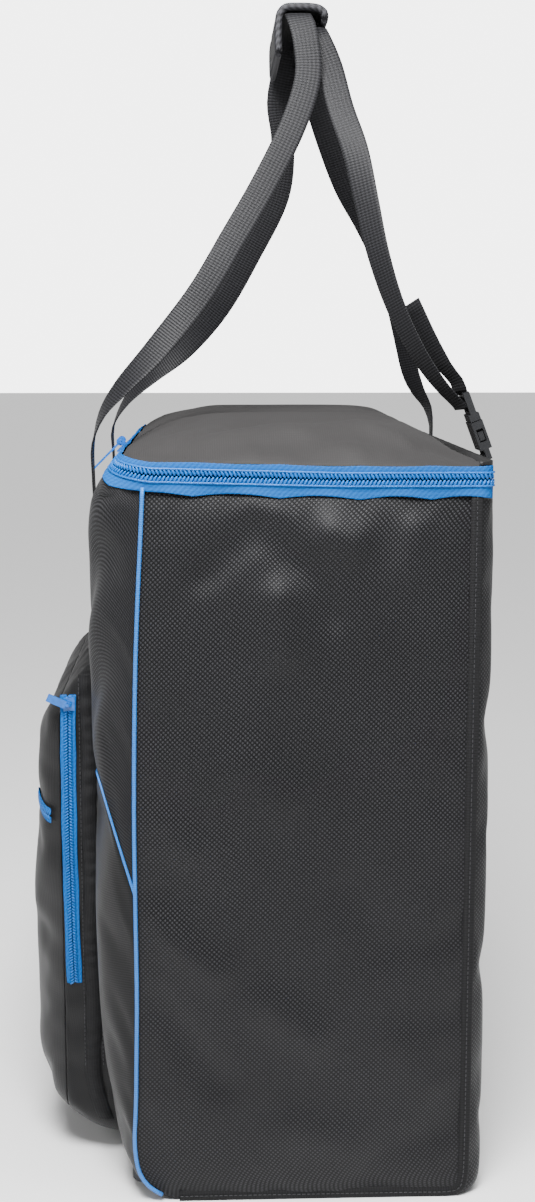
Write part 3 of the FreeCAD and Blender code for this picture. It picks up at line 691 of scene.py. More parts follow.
# %% Rings from an outline
def rim_grid(rim, count):
    """Weights for a square grid inside a closed rim of 4 * count points: each grid point knows its
    ring, 0 in the middle to 1 outside, and the rim point it looks towards."""
    a, b = np.meshgrid(np.linspace(-1, 1, count + 1), np.linspace(-1, 1, count + 1), indexing="ij")
    ring = np.maximum(np.abs(a), np.abs(b))
    safe = np.maximum(ring, 1e-9)
    a1, b1 = a / safe, b / safe
    side = np.where(a1 >= 1 - 1e-9, (b1 + 1) / 2, np.where(b1 >= 1 - 1e-9, 1 + (1 - a1) / 2, np.where(
        a1 <= -1 + 1e-9, 2 + (1 - b1) / 2, 3 + (a1 + 1) / 2)))
    position = (side * count) % (4 * count)
    wrapped = np.vstack([rim, rim[:1]])
    return ring, resampled(np.arange(len(wrapped)), wrapped, position)


def rounded_rim(count, half_x, low_y, high_y, front_round, rear_round, z):
    """A closed rim of 4 * count points, from the front right corner's middle round by the right end:
    the right end, the rear, the left end and the front, each with half a corner either side."""
    def corner(cx, cy, radius, start, stop):
        """Half a corner's arc about cx, cy, between two angles in degrees."""
        turn = np.radians(np.linspace(start, stop, 8))
        return np.stack([cx + radius * np.cos(turn), cy + radius * np.sin(turn)], axis=1)
    fr, rr = front_round, rear_round
    sides = [
        (corner(half_x - fr, low_y + fr, fr, -45, 0), corner(half_x - rr, high_y - rr, rr, 0, 45)),
        (corner(half_x - rr, high_y - rr, rr, 45, 90), corner(-half_x + rr, high_y - rr, rr, 90, 135)),
        (corner(-half_x + rr, high_y - rr, rr, 135, 180), corner(-half_x + fr, low_y + fr, fr, 180, 225)),
        (corner(-half_x + fr, low_y + fr, fr, 225, 270), corner(half_x - fr, low_y + fr, fr, 270, 315)),
    ]
    runs = []
    for first, second in sides:
        path = np.vstack([first, second])
        walked = along(path)
        runs.append(resampled(walked, path, np.linspace(0, walked[-1], count, endpoint=False)))
    flat = np.vstack(runs)
    return np.concatenate([flat, np.full((len(flat), 1), z)], axis=1)


# %% [markdown]
# ## Where the main zip runs
# Lid and bag meet at the main zip, so its line comes first: along an end, round the front corner,
# across the sloping front edge and back along the other end. The lid's rim is then laid on it.

# %% The zip's line
ZIP_OUT = END_X + 0.0014
ZIP_Z = 0.5332
ZIP_CLIMB = 0.0035
REAR_TURN_Y = 0.1155
REAR_TURN = 0.0085
FRONT_TURN_Y = -0.1125
LEAN = math.radians(40)


def main_zip_line():
    """Places, width directions and outward faces along the main zip. The corners are quarter
    ellipses, and the lean, from upright to 40 degrees back, follows the same turn."""
    back = np.radians(np.linspace(78, 0, 7))[:-1]
    tucked = np.stack([ZIP_OUT - REAR_TURN * (1 - np.cos(back)), REAR_TURN_Y + REAR_TURN * np.sin(back),
                       np.full(len(back), ZIP_Z)], axis=1)
    run = np.linspace(REAR_TURN_Y, FRONT_TURN_Y, 30)[:-1]
    end = np.stack([np.full(len(run), ZIP_OUT), run, ZIP_Z + ZIP_CLIMB * ramp(run, 0.02, -0.11)], axis=1)
    turn = np.linspace(0, np.pi / 2, 14)
    share = turn / (np.pi / 2)
    arc = np.stack([ZIP_OUT - 0.0285 * (1 - np.cos(turn)), FRONT_TURN_Y - 0.0275 * np.sin(turn),
                    ZIP_Z + ZIP_CLIMB + 0.0068 * share ** 1.2], axis=1)
    front_x = np.linspace(arc[-1, 0], 0, 26)[1:]
    front = np.stack([front_x, np.full(len(front_x), arc[-1, 1]), arc[-1, 2] + 0.0006 * np.sin(front_x * 55)],
                     axis=1)
    half = np.vstack([tucked, end, arc, front])
    lean = np.concatenate([np.zeros(len(tucked) + len(end)), share, np.ones(len(front))])
    line = np.vstack([half, (half * np.array((-1, 1, 1)))[-2::-1]])
    lean = np.concatenate([lean, lean[-2::-1]]) * LEAN
    forward = directions(line)
    inward = unit(np.cross((0, 0, 1.0), forward)) * np.array((1, 1, 0))
    inward = -inward if inward[len(tucked), 0] > 0 else inward
    width = unit(np.array((0, 0, 1.0)) * np.cos(lean)[:, None] + inward * np.sin(lean)[:, None])
    width = unit(width - forward * (width * forward).sum(axis=1, keepdims=True))
    face = np.cross(forward, width)
    face = face * np.sign((face * -inward).sum(axis=1, keepdims=True))
    return line, width, face


zip_line, zip_width, zip_face = main_zip_line()
zip_walk = along(zip_line)
print("main zip length", round(float(zip_walk[-1]), 3), "m")

# %% The domed lid
LID_RIM_END = 0.5415
rim = rounded_rim(40, END_X + 0.0008, -0.1335, 0.1235, 0.030, 0.014, LID_RIM_END)
beside_zip = zip_line + zip_width * 0.0086 - zip_face * 0.0003
beside_zip = resampled(zip_walk, beside_zip, np.linspace(0, zip_walk[-1], 2000))
meets_zip = rim[:, 1] < 0.112
apart = np.linalg.norm(rim[meets_zip][:, None, :2] - beside_zip[None, :, :2], axis=2)
rim[meets_zip] = beside_zip[apart.argmin(axis=1)]
ring, outer = rim_grid(rim, 40)
middle = np.array((0, -0.008))
xy = middle + (outer[..., :2] - middle) * ring[..., None]
lid_x, lid_y = xy[..., 0], xy[..., 1]
CROWN = 0.5690
SLOPE_SHARE = 0.192


def dome_at(x, y, share, rim_height):
    """The lid's height where share of the way out from its middle is known. The crown is highest in
    the middle, falls to the ends as a square and slopes straight at the front and rear. From the rim,
    the front and rear climb to a crease, and the ends rise slowly over the foam's soft edge."""
    crown = CROWN - 0.005 * (x / END_X) ** 2
    crown = crown - 0.55 * np.maximum(y - 0.066, 0) - 0.10 * np.maximum(-0.07 - y, 0)
    steep = 1 - (1 - ramp(share, 1, 1 - SLOPE_SHARE)) ** 1.4
    gentle = 1 - (1 - ramp(np.abs(x) / END_X, 1, 0.45)) ** 3
    return rim_height + (crown - rim_height) * np.minimum(steep, gentle)


dome = dome_at(lid_x, lid_y, ring, outer[..., 2])
LID_FOLDS = np.array([
    (226, -120, 150, -40, 9, -2.2), (226, -118, 196, 20, 8, -2.0), (205, -124, 120, -86, 8, -1.6),
    (222, -60, 216, 40, 12, 1.8), (196, -100, 168, 60, 14, 1.6), (160, -110, 130, 70, 12, -1.4),
    (110, -112, 96, 64, 14, 1.2), (40, -116, 52, 60, 14, -1.2), (-30, -112, -18, 70, 14, 1.3),
    (-110, -110, -90, 60, 13, -1.3), (-180, -100, -170, 60, 14, 1.3), (214, 60, 180, 104, 10, -1.4),
    (222, 96, 150, 20, 9, 1.6), (224, 40, 170, -30, 9, 1.4), (218, 84, 190, 30, 7, -1.5),
    (120, 30, 150, 96, 9, 1.4), (60, 40, 90, 100, 10, -1.3), (224, -96, 210, -40, 6, 1.6),
]) * MM
# The lid's cloth is creased too: its folds are narrower and deeper than a slack cloth's.
LID_CREASED = np.array([1, 1, 1, 1, 0.75, 2.6])
lid_rise = folds(lid_x, lid_y, LID_FOLDS * LID_CREASED)
lid_rise += bell(ring, 0.93, 0.05) * 0.0008 * np.sin(np.arctan2(lid_y * 1.9, lid_x) * 90)
cloth = np.stack([lid_x, lid_y, dome + lid_rise * (1 - ring ** 12)], axis=-1)
lid_panel = surface("lid_panel", cloth, xy, away=(0, 0, 0.3))
to_settle(lid_panel, border(cloth), 1.5, 0.010, 0.004, bending=3.0)
print("lid", cloth.shape, "crown", dome.max())

# %% [markdown]
# ## The pocket
# The pocket is unpadded: a strip sewn to the front all round, and a front cloth sewn to the strip. It
# hangs from its own weight, so its cloth is puckered along the seams and fullest low down.

# %% Pocket strip and front
POCKET_X = 0.160
POCKET_SPLIT = -0.186
POCKET_COUNT = 40


def upright_rim(half_x, low, high, radius):
    """A rounded rim turned upright: x stays, its y becomes height, and its depth is left at 0."""
    return rounded_rim(POCKET_COUNT, half_x, low, high, radius, radius, 0)[:, [0, 2, 1]]


at_body = upright_rim(POCKET_X + 0.002, 0.014, 0.387, 0.016)
at_body[:, 1] = front_at(at_body[:, 2]) - 0.0012
at_split = upright_rim(POCKET_X, 0.032, 0.363, 0.022)
at_split[:, 1] = POCKET_SPLIT
share = np.linspace(0, 1, 14)[:, None, None]
strip = at_body + (at_split - at_body) * share
slack = np.sin(share[..., 0] * np.pi)
above = strip[..., 2] - 0.2
strip[..., 2] += np.sign(above) * slack * 0.006 * (np.abs(above) > 0.14)
strip[..., 0] += np.sign(strip[..., 0]) * (np.abs(strip[..., 0]) > 0.15) * slack * 0.0006 * np.sin(
    strip[..., 2] / 0.0045 + np.sin(strip[..., 2] * 90))
strip = np.concatenate([strip, strip[:, :1]], axis=1)
pocket_gusset = surface("pocket_gusset", strip, weld=True, away=(0, -0.17, 0.2))

ring, outer = rim_grid(at_split, POCKET_COUNT)
middle = np.array((0, POCKET_SPLIT, 0.19))
cap = middle + (outer - middle) * ring[..., None]
fullness = np.interp(cap[..., 2], [0.03, 0.09, 0.21, 0.30, 0.36], [0.017, 0.0205, 0.0225, 0.0205, 0.016])
cap[..., 1] -= fullness * (1 - ring ** 7) ** 0.5


def organiser_height(x):
    """The small front zip's height along the pocket: level, then up and down again at its right end."""
    return 0.272 + 0.009 * bell(x, 0.128, 0.022)


POCKET_FOLDS = np.array([
    (-150, 350, -60, 320, 10, 2.4), (150, 352, 70, 318, 10, 2.6), (120, 340, 96, 250, 12, -2.2),
    (-110, 240, -60, 150, 15, 2.2), (148, 110, 110, 60, 11, 2.6), (100, 210, 60, 90, 16, -2.2),
    (-150, 90, -100, 50, 11, 2.4), (-30, 250, 0, 80, 18, 1.8), (30, 350, 20, 300, 12, -1.8),
    (150, 240, 128, 190, 10, 2.0), (150, 180, 132, 140, 8, -2.2), (-146, 200, -128, 150, 9, -2.0),
]) * MM
off_zip = cap[..., 2] - organiser_height(cap[..., 0])
beside_organiser = 1 - bell(off_zip, 0, 0.012)
cap[..., 1] -= folds(cap[..., 0], cap[..., 2], POCKET_FOLDS) * (1 - ring ** 10) * beside_organiser
puckers = 0.0012 * bell(ring, 0.95, 0.05) * np.sin(np.arctan2(cap[..., 2] - 0.19, cap[..., 0]) * 110)
cap[..., 1] -= puckers * (1 - ring ** 14)
pocket_front = surface("pocket_front", cap, cap[..., [0, 2]], away=(0, 0, 0.2))
under_zip = (np.abs(off_zip) < 0.009) & (cap[..., 0] > -0.11)
to_settle(pocket_front, np.maximum(border(cap), under_zip), 1.5, 0.022, 0.005)
welded = strip[:, :-1]
held = (welded[..., 0] > 0.15) & (welded[..., 1] < -0.168) & (np.abs(welded[..., 2] - 0.255) < 0.118)
held[[0, -1]] = True
to_settle(pocket_gusset, held, 0.8, 0.014, 0.0025)
print("pocket", strip.shape, cap.shape)

# %% [markdown]
# ## Let the cloth settle
# All the cloths run at once, which costs no more than the largest would alone.

# %% Run the simulation
settle_all()
for obj, slot, finish, nodes, flat, rest in (
        (front_panel, "body_weave", DOBBY, ("front_panel", "front_rim_fabric"), (0.50, 0.225), "base_panel"),
        (front_lower_panel, "matte_fabric", PLAIN, ("front_lower_panel",), (0.50, 0.32), "base_panel"),
        (rear_panel, "body_weave", DOBBY, ("rear_panel",), (0.47, 0.54), "base_panel"),
        (end_panels["right"], "body_weave", DOBBY, ("end_panel_right",), (0.242, 0.53), "base_panel"),
        (end_panels["left"], "body_weave", DOBBY, ("end_panel_left",), (0.242, 0.53), "base_panel"),
        (pocket_gusset, "matte_fabric", PLAIN, ("pocket_gusset",), (0.040, 1.36), "front_panel"),
        (pocket_front, "matte_fabric", PLAIN, ("pocket_front",), (0.345, 0.355), "front_panel")):
    soften(obj, 1, 0.0009)
    dress(obj, "bag", slot, finish, *nodes)
soften(lid_panel, 1, 0.0015)
dress(lid_panel, "lid", "lid_fabric", BRUSHED, "lid_panel")
print("shell dressed")

# %% [markdown]
# ## Base, piping and binding
# Piping is a cord in folded tape: a round tube along the seam line. Binding is flat tape folded over
# the edge of the seam allowance, with one row of stitches, so it is a squared section carried along
# the foot and up the rear edge.

# %% Stitches and other small repeated parts
def bar_shape():
    """A small six-sided bar two long, two wide and two thick, drawn in at its ends: three rings of
    six points and two end points."""
    turn = np.linspace(0, 2 * np.pi, 6, endpoint=False)
    rings = [np.stack([np.full(6, x), np.cos(turn) * r, np.sin(turn) * r], axis=1)
             for x, r in ((-0.8, 0.75), (0.0, 1.0), (0.8, 0.75))]
    points = np.vstack([[[-1, 0, 0]], *rings, [[1, 0, 0]]])
    faces = [[0, 1 + (k + 1) % 6, 1 + k] for k in range(6)]
    faces += [[19, 13 + k, 13 + (k + 1) % 6] for k in range(6)]
    faces += [[1 + 6 * r + k, 1 + 6 * r + (k + 1) % 6, 7 + 6 * r + (k + 1) % 6, 7 + 6 * r + k]
              for r in range(2) for k in range(6)]
    return points, faces


def bars(name, places, half_long, half_wide, half_thick):
    """One mesh of many bars: each point is place + x * half_long + y * half_wide + z * half_thick,
    where those three are the bar's own half axes."""
    points, faces = bar_shape()
    flips = np.einsum("ij,ij->i", np.cross(half_long, half_wide), half_thick) < 0
    half_wide = np.where(flips[:, None], -half_wide, half_wide)
    placed = (places[:, None] + points[None, :, :1] * half_long[:, None] + points[None, :, 1:2]
              * half_wide[:, None] + points[None, :, 2:] * half_thick[:, None])
    every = [[index + len(points) * k for index in face] for k in range(len(places)) for face in faces]
    return new_piece(name, placed, every)


def stitches(name, stations, outward, pitch=0.0036):
    """A row of stitches along a smooth line: a bar each pitch, lifted outwards."""
    line = smooth_line(stations, 0.004)
    walked = along(line)
    places = np.arange(pitch / 2, walked[-1], pitch)
    at = resampled(walked, line, places)
    forward = unit(resampled(walked, directions(line), places))
    out = everywhere(outward, at)
    side = unit(np.cross(out, forward)) * 0.00035
    return bars(name, at + out * 0.0003, forward * 0.0013, side, np.cross(forward, side))


# %% Base cloth, piping and binding
rim = rounded_rim(24, END_X - 0.001, -0.107, 0.103, 0.020, 0.006, 0.0011)
ring, outer = rim_grid(rim, 24)
flat = outer[..., :2] * ring[..., None] + (1 - ring[..., None]) * np.array((0, -0.002))
base = surface("base_panel", np.concatenate([flat, outer[..., 2:]], axis=-1), flat, away=(0, 0, 0.3))
soften(base, 1, 0.0010)
dress(base, "bag", "matte_fabric", PLAIN, "base_panel")

seam_z = np.array([0.5285, 0.50, 0.45, 0.40, 0.34, 0.28, 0.22, 0.16, 0.11, 0.075, 0.05, 0.034, 0.022,
                   0.012, 0.005])
for side, word in SIDES:
    seam = np.stack([np.full(len(seam_z), side * (END_X + 0.0008)), seam_at(seam_z), seam_z], axis=1)
    dress(tube("front_piping_" + word, seam, 0.0015), "bag", "blue_piping", PIPING, "front_piping_" + word)
    edge = np.array([(side * (END_X + 0.0004), y, z) for y, z in (
        (-0.098, 0.004), (-0.07, 0.0042), (0.0, 0.0042), (0.07, 0.0042), (0.100, 0.0042), (0.1085, 0.0065),
        (0.1115, 0.014), (0.1125, 0.04), (0.1125, 0.15), (0.1125, 0.30), (0.1125, 0.45), (0.1125, 0.524))])
    line = smooth_line(edge, 0.006)
    forward = directions(line)
    out = everywhere((side, 0, 0), line)
    tape = carried("end_binding_" + word, line, np.cross(forward, out), out, flat_outline(0.0042, 0.0014))
    dress(tape, "bag", "black_binding", BINDING, "end_binding_" + word)
    row = stitches("end_binding_stitches_" + word, edge + out[:1] * 0.0014, (side, 0, 0))
    dress(row, "bag", "black_binding", THREAD)

accent = upper[0][ACROSS > 0.74][::-1]
accent = accent + unit(accent * np.array((1, 1, 0)) - np.array((0.19, -0.11, 0))) * 0.0008
for side, word in SIDES:
    line = smooth_line(accent * np.array((side, 1, 1)), 0.004)
    forward = directions(line)
    across = unit(np.cross(forward, (0.3, 0.4, 0.87)))
    shrink = np.linspace(1, 0.4, len(line))[:, None]
    piping = carried("accent_piping_" + word, line, across * shrink, np.cross(forward, across) * shrink,
                     circle(0.0011))
    dress(piping, "bag", "blue_piping", PIPING, "accent_piping_" + word)
print("piping and binding done")

# %% [markdown]
# ## Zips
# At each point of a zip's line there is a direction, an outward face and a width direction, which on
# the main zip leans back across the front. Tapes are ribbons either side of the line; the coil is a
# chevron of short slanting bars, one row on each half, so the zip parts cleanly when the lid opens.

# %% Tapes and coils
def zip_tape(name, line, width, face, near, far, wave):
    """A flat tape beside a zip's line, from near to far along the width directions. Its outer edge
    waves where the cloth under it is gathered."""
    t = np.linspace(0, 1, 7)[:, None, None]
    walked = along(line)
    ripple = wave * (1 - 1.6 * np.abs(np.sin(np.pi * walked / 0.052 + 0.5 * np.sin(walked / 0.06))))
    reach = near + (far - near) * t + np.sign(far) * (ripple[None, :, None] * t)
    grid = line[None] + width[None] * reach + face[None] * (0.0006 + 0.5 * wave * np.abs(t - 0.2) * np.sin(
        walked / 0.0083)[None, :, None])
    tape = surface(name, grid, np.stack(np.broadcast_arrays(reach[..., 0], walked[None]), axis=-1))
    face_away(tape, line[len(line) // 4] - face[len(line) // 4] * 0.2)
    return soften(tape, 1, 0.0005)


def zip_coil(name, line, width, face, side, pitch, reach, thick, start):
    """One half of a coil: bars a pitch apart, each from the middle out to its reach and slanting
    forward, so that two halves together draw chevrons."""
    slant = 0.55
    walked = along(line)
    places = np.arange(pitch * (0.5 + start), walked[-1] - pitch * 0.3, pitch)
    at, across, out = (resampled(walked, values, places) for values in (line, width, face))
    forward = unit(resampled(walked, directions(line), places))
    lean = unit(side * across + forward * slant)
    middle = at + side * across * reach * 0.5 + forward * slant * reach * 0.25 + out * thick
    half_wide = unit(np.cross(out, lean)) * pitch * 0.36
    return bars(name, middle, lean * reach * 0.56, half_wide, unit(out) * thick)


places = np.linspace(0, zip_walk[-1], 420)
zl, zw, zf = (resampled(zip_walk, values, places) for values in (zip_line, zip_width, zip_face))
zw, zf = unit(zw), unit(zf)
for body, side, far, wave, start in (("bag", -1, 0.0125, 0.0016, 0.0), ("lid", 1, 0.0092, 0.0004, 0.5)):
    tape = zip_tape(body + "_zip_tape", zl, zw, zf, side * 0.0012, side * far, wave)
    dress(tape, body, "blue_tape", TAPE, body + "_zip_tape")
    coil = zip_coil(body + "_zip_coil", zl, zw, zf, side, 0.0028, 0.0048, 0.00095, start)
    dress(coil, body, "blue_coil", COIL, body + "_zip_coil")
    beside = zl + zw * side * 0.0046 + zf * 0.0011
    dress(carried(body + "_zip_cord", beside, zw, zf, circle(0.0008, 6)), body, "blue_coil", COIL)

hinge = rear_wrap()[-12:].copy()
hinge[..., 2] = np.linspace(0.519, 0.5455, 12)[:, None]
hinge[..., :2] *= 1 + 0.0014 * np.sin(hinge[..., :1] / 0.006)
hinge_strip = surface("lid_hinge_strip", hinge, away=(0, 0, 0.53))
soften(hinge_strip, 0, 0.0008)
dress(hinge_strip, None, "matte_fabric", PLAIN, "lid_hinge_strip")
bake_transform(hinge_strip)
print("main zip done")

# %% Pocket and organiser zips
side_z = np.linspace(0.368, 0.142, 90)
side_y = -0.1785 - 0.0016 * np.sin((side_z - 0.142) * 12)
side_line = np.stack([np.full(90, POCKET_X + 0.0016) + 0.0008 * np.sin(side_z * 80), side_y, side_z], axis=1)
side_width = everywhere((0, 1, 0), side_line)
side_face = everywhere((1, 0, 0), side_line)
top_x = np.linspace(-0.100, 0.1575, 110)
top_line = np.stack([top_x, POCKET_SPLIT - 0.0009 - 0.0212 * np.sqrt(1 - (np.abs(top_x) / 0.160) ** 7),
                     organiser_height(top_x)], axis=1)
top_width = everywhere((0, 0, 1), top_line)
top_face = unit(np.cross(directions(top_line), top_width))
for word, line, width, face, thick in (("pocket", side_line, side_width, side_face, 0.0009),
                                       ("organiser", top_line, top_width, top_face, 0.0006)):
    for half, sign, start, nodes in (("one", 1, 0.0, (f"{word}_zip_tape", f"{word}_zip_coil")),
                                     ("two", -1, 0.5, ())):
        tape = zip_tape(f"{word}_zip_tape_{half}", line, width, face, sign * 0.0006, sign * 0.0058, 0.0003)
        dress(tape, "bag", "blue_tape", TAPE, *nodes[:1])
        coil = zip_coil(f"{word}_zip_coil_{half}", line, width, face, sign, 0.0023, 0.0034, thick, start)
        dress(coil, "bag", "blue_coil", COIL, *nodes[1:])

# %% Binding beside the pocket's zip
ruched_z = np.linspace(0.030, 0.384, 150)
ruche = (0.0011 * np.sin(ruched_z / 0.0019 + 2 * np.sin(ruched_z / 0.013))
         * (0.5 + 0.5 * np.sin(ruched_z / 0.021) ** 2))
tucked_in = 0.008 * ramp(ruched_z, 0.075, 0.030) ** 2
t = np.linspace(-1, 1, 9)[:, None]
ruched_x = POCKET_X + 0.0022 + 0.0016 * np.cos(t * np.pi / 2) + ruche * (1 - 0.4 * np.abs(t))
ruched_y = -0.1645 + 0.0062 * t + 0.0010 * np.sin(ruched_z / 0.016) + tucked_in
ruched = np.stack(np.broadcast_arrays(ruched_x, ruched_y, ruched_z), axis=-1)
ruched_binding = surface("pocket_seam_binding", ruched, away=(0, -0.1645, 0.2))
dress(soften(ruched_binding, 1, 0.0008), "bag", "black_binding", BINDING)
for name, y in (("one", -0.1575), ("two", -0.1712)):
    stations = [(POCKET_X + 0.0024, y, z) for z in (0.075, 0.12, 0.25, 0.380)]
    row = stitches("pocket_seam_stitches_" + name, stations, (1, 0, 0), 0.0034)
    dress(row, "bag", "black_binding", THREAD)
print("small zips done")

# %% [markdown]
# ## Webbing
# Webbing is one flat section carried along a line that twists: each station gives a place and how
# far the strap's width has turned from the bag's length towards its depth. The straps are sewn flat
# to the front and rear and run through the grip in one piece, as the real ones do.

# %% Straps
STRAP_SECTION = flat_outline(0.010, 0.0009)


def strap(name, stations):
    """A strap along stations (x, y, z, turn): its width direction is (cos turn, sin turn, 0) with its
    part along the line taken out."""
    path = smooth_line(np.array(stations, float) * np.array((MM, MM, MM, 1)), 0.006)
    line, turn = path[:, :3], np.radians(path[:, 3])
    forward = directions(line)
    side = np.stack([np.cos(turn), np.sin(turn), np.zeros(len(turn))], axis=1)
    side = unit(side - forward * (side * forward).sum(axis=1, keepdims=True))
    return carried(name, line, side, np.cross(forward, side), STRAP_SECTION)


FRONT_STRAP = [
    (125, -156.2, 386, 0), (125, -156.2, 420, 0), (125, -156.2, 470, 0), (125, -156.8, 494, 0),
    (125, -159.2, 508, 0), (125, -160.2, 530, 0), (125, -160, 552, 0), (124.5, -153, 574, 20),
    (123, -138, 594, 50), (119, -112, 622, 75),
    (111, -80, 662, 90), (101, -54, 705, 90), (92, -30, 746, 90), (84, -8, 790, 90), (77, 3, 826, 90),
    (71, 1, 856, 90), (64, -3, 870, 90), (52, -4, 875, 90), (20, -4, 876.5, 90), (-20, -4, 876.5, 90),
    (-52, -4, 875, 90), (-64, -5, 870, 90), (-71, -8, 856, 90), (-77, -13, 828, 90), (-83, -9, 796, 90),
    (-91, -13, 752, 90), (-101, -38, 702, 90), (-110, -64, 658, 90), (-118, -94, 624, 80),
    (-123, -126, 598, 60),
    (-124.5, -148, 575, 25), (-125, -160, 552, 0), (-125, -160.2, 530, 0), (-125, -159.2, 508, 0),
    (-125, -156.8, 494, 0), (-125, -156.2, 470, 0), (-125, -156.2, 420, 0), (-125, -156.2, 386, 0)]
REAR_STRAP = [
    (125, 116.5, 577, 22), (125, 114, 581, 25), (124, 99, 597, 30), (121, 82, 622, 35), (115, 66, 656, 40),
    (108, 54, 694, 50), (99, 46, 732, 60), (89, 38, 770, 75), (76, 28, 802, 85), (66, 20, 834, 90),
    (60, 11, 856, 90), (52, 8, 864.5, 90), (20, 8, 868, 90), (-20, 8, 868, 90), (-52, 8, 864.5, 90),
    (-60, 11, 854, 90), (-66, 18, 828, 90), (-76, 31, 792, 85), (-90, 46, 758, 75), (-103, 64, 728, 60),
    (-113, 80, 697, 50), (-120, 92, 664, 45), (-124, 101, 630, 45), (-125, 108, 602, 45),
    (-125, 115, 585, 35), (-125, 124.5, 569, 15), (-125, 128, 552, 0), (-125, 127.6, 536, 0),
    (-125, 126.8, 515, 0), (-125, 126.2, 490, 0),
    (-125, 126.1, 420, 0), (-125, 126.1, 250, 0), (-125, 126.1, 120, 0), (-125, 126.1, 40, 0)]
REAR_LEG = [
    (125, 126.1, 40, 0), (125, 126.1, 120, 0), (125, 126.1, 250, 0), (125, 126.1, 420, 0),
    (125, 126.1, 490, 0),
    (125, 126.6, 515, 0), (125, 127.8, 533, 0), (125, 131.2, 539, 0), (125, 134.2, 544, 0)]
TAIL = [(125, 116, 588, 24), (125, 112.5, 598, 25), (124, 103.5, 609, 30), (121.5, 91, 630, 35),
        (117.5, 78, 656, 40)]

for name, stations, body, start, end, nodes in (
        ("front_strap", FRONT_STRAP, "front_handle", (0, -0.158, 0.499), (0, -0.158, 0.511),
         ("front_webbing_right", "front_webbing_left", "front_handle_webbing")),
        ("rear_strap", REAR_STRAP, "rear_handle", (0, 0.127, 0.515), (0, 0.127, 0.545),
         ("rear_handle_webbing", "rear_webbing_left")),
        ("rear_buckle_leg", REAR_LEG, "rear_handle", (0, 0.127, 0.515), (0, 0.127, 0.536),
         ("rear_webbing_right", "buckle_webbing"))):
    webbing = strap(name, stations)
    dress(webbing, None, "webbing", WEBBING, *nodes)
    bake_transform(webbing)
dress(strap("rear_handle_tail", TAIL), "rear_handle", "webbing", WEBBING, "rear_handle_tail")


# %% Stitches on the webbing
def joined(pieces):
    """Several objects made into one, the first."""
    with bpy.context.temp_override(active_object=pieces[0], selected_editable_objects=pieces,
                                   object=pieces[0]):
        bpy.ops.object.join()
    return pieces[0]


for word, x, y, out, top, foot in (("front_right", 125, -157.1, -1, 486, 388),
                                   ("front_left", -125, -157.1, -1, 486, 388),
                                   ("rear_right", 125, 127.0, 1, 498, 42),
                                   ("rear_left", -125, 127.0, 1, 498, 42)):
    around = [(x - 8, y, foot), (x - 8, y, top), (x + 8, y, top), (x + 8, y, foot), (x - 8, y, foot)]
    runs = list(zip(around, around[1:]))
    runs += [((x - 8, y, top - 16), (x + 8, y, top)), ((x + 8, y, top - 16), (x - 8, y, top))]
    sewn = joined([stitches("row", np.array(run) * MM, (0, out, 0), 0.0032) for run in runs])
    sewn.name = "webbing_stitches_" + word
    dress(sewn, "bag", "webbing", THREAD)
print("straps done")

# %% [markdown]
# ## The grip
# A padded saddle of canvas over both straps, bound all round in herringbone tape, with a long flap
# in front and a short one behind. Its section is a line of stations in the bag's depth and height,
# carried along the bag, with the middle a little fuller than the ends.

# %% Saddle and its binding
SADDLE = smooth_line(np.array([(-20.3, 846.6), (-20.6, 858), (-20.4, 868), (-18.8, 875.2), (-13.6, 879.9),
                               (-4, 880.6), (6, 880.4), (12.6, 879.2), (17.4, 875.6), (18.4, 871.2)]) * MM,
                     0.002)
GRIP_HALF = 0.0585
along_grip = np.linspace(-1, 1, 41)
normal = unit(np.stack([-np.gradient(SADDLE[:, 1]), np.gradient(SADDLE[:, 0])], axis=1))
round_section = np.sin(np.linspace(0, np.pi, len(SADDLE)))[:, None, None]
full = 0.0011 * (1 - along_grip ** 4)[None, :, None] * round_section
wrinkle = 0.00035 * np.sin(along_grip * 34 + 2 * np.sin(along_grip * 9))[None, :, None]
section = SADDLE[:, None] + normal[:, None] * (full + wrinkle)
saddle = np.stack(np.broadcast_arrays(along_grip * GRIP_HALF, section[..., 0], section[..., 1]), axis=-1)
grip = surface("grip_wrap", saddle, away=(0, 0, 0.86))
soften(grip, 1, 0.0034)
dress(grip, "front_handle", "grip_cloth", CANVAS, "grip_wrap")

inner = SADDLE - normal * 0.0017
for word, x in (("right", GRIP_HALF), ("left", -GRIP_HALF)):
    line = np.insert(inner, 0, x, axis=1)
    out = np.insert(normal, 0, 0, axis=1)
    tape = carried("grip_binding_" + word, line, everywhere((1, 0, 0), line), out,
                   flat_outline(0.0052, 0.0029, 0.7))
    dress(tape, "front_handle", "grip_cloth", HERRINGBONE)
for word, (y, z) in (("front", inner[0]), ("rear", inner[-1])):
    line = np.array([(x, y, z) for x in np.linspace(-GRIP_HALF, GRIP_HALF, 30)])
    tape = carried("grip_edge_" + word, line, everywhere((0, 0, 1), line), everywhere((0, 1, 0), line),
                   flat_outline(0.0040, 0.0026, 0.7))
    dress(tape, "front_handle", "grip_cloth", HERRINGBONE)
print("grip done")

# %% [markdown]
# ## Inside
# Foam boards stand between the cloth and the lining, and the balls sit in two dished foam blocks with
# a divider between them. They show when the lid is open.

# %% Lining
LINING_ROUND = 0.020
LINING_COUNT = 34
FLOOR_Z = 0.0068


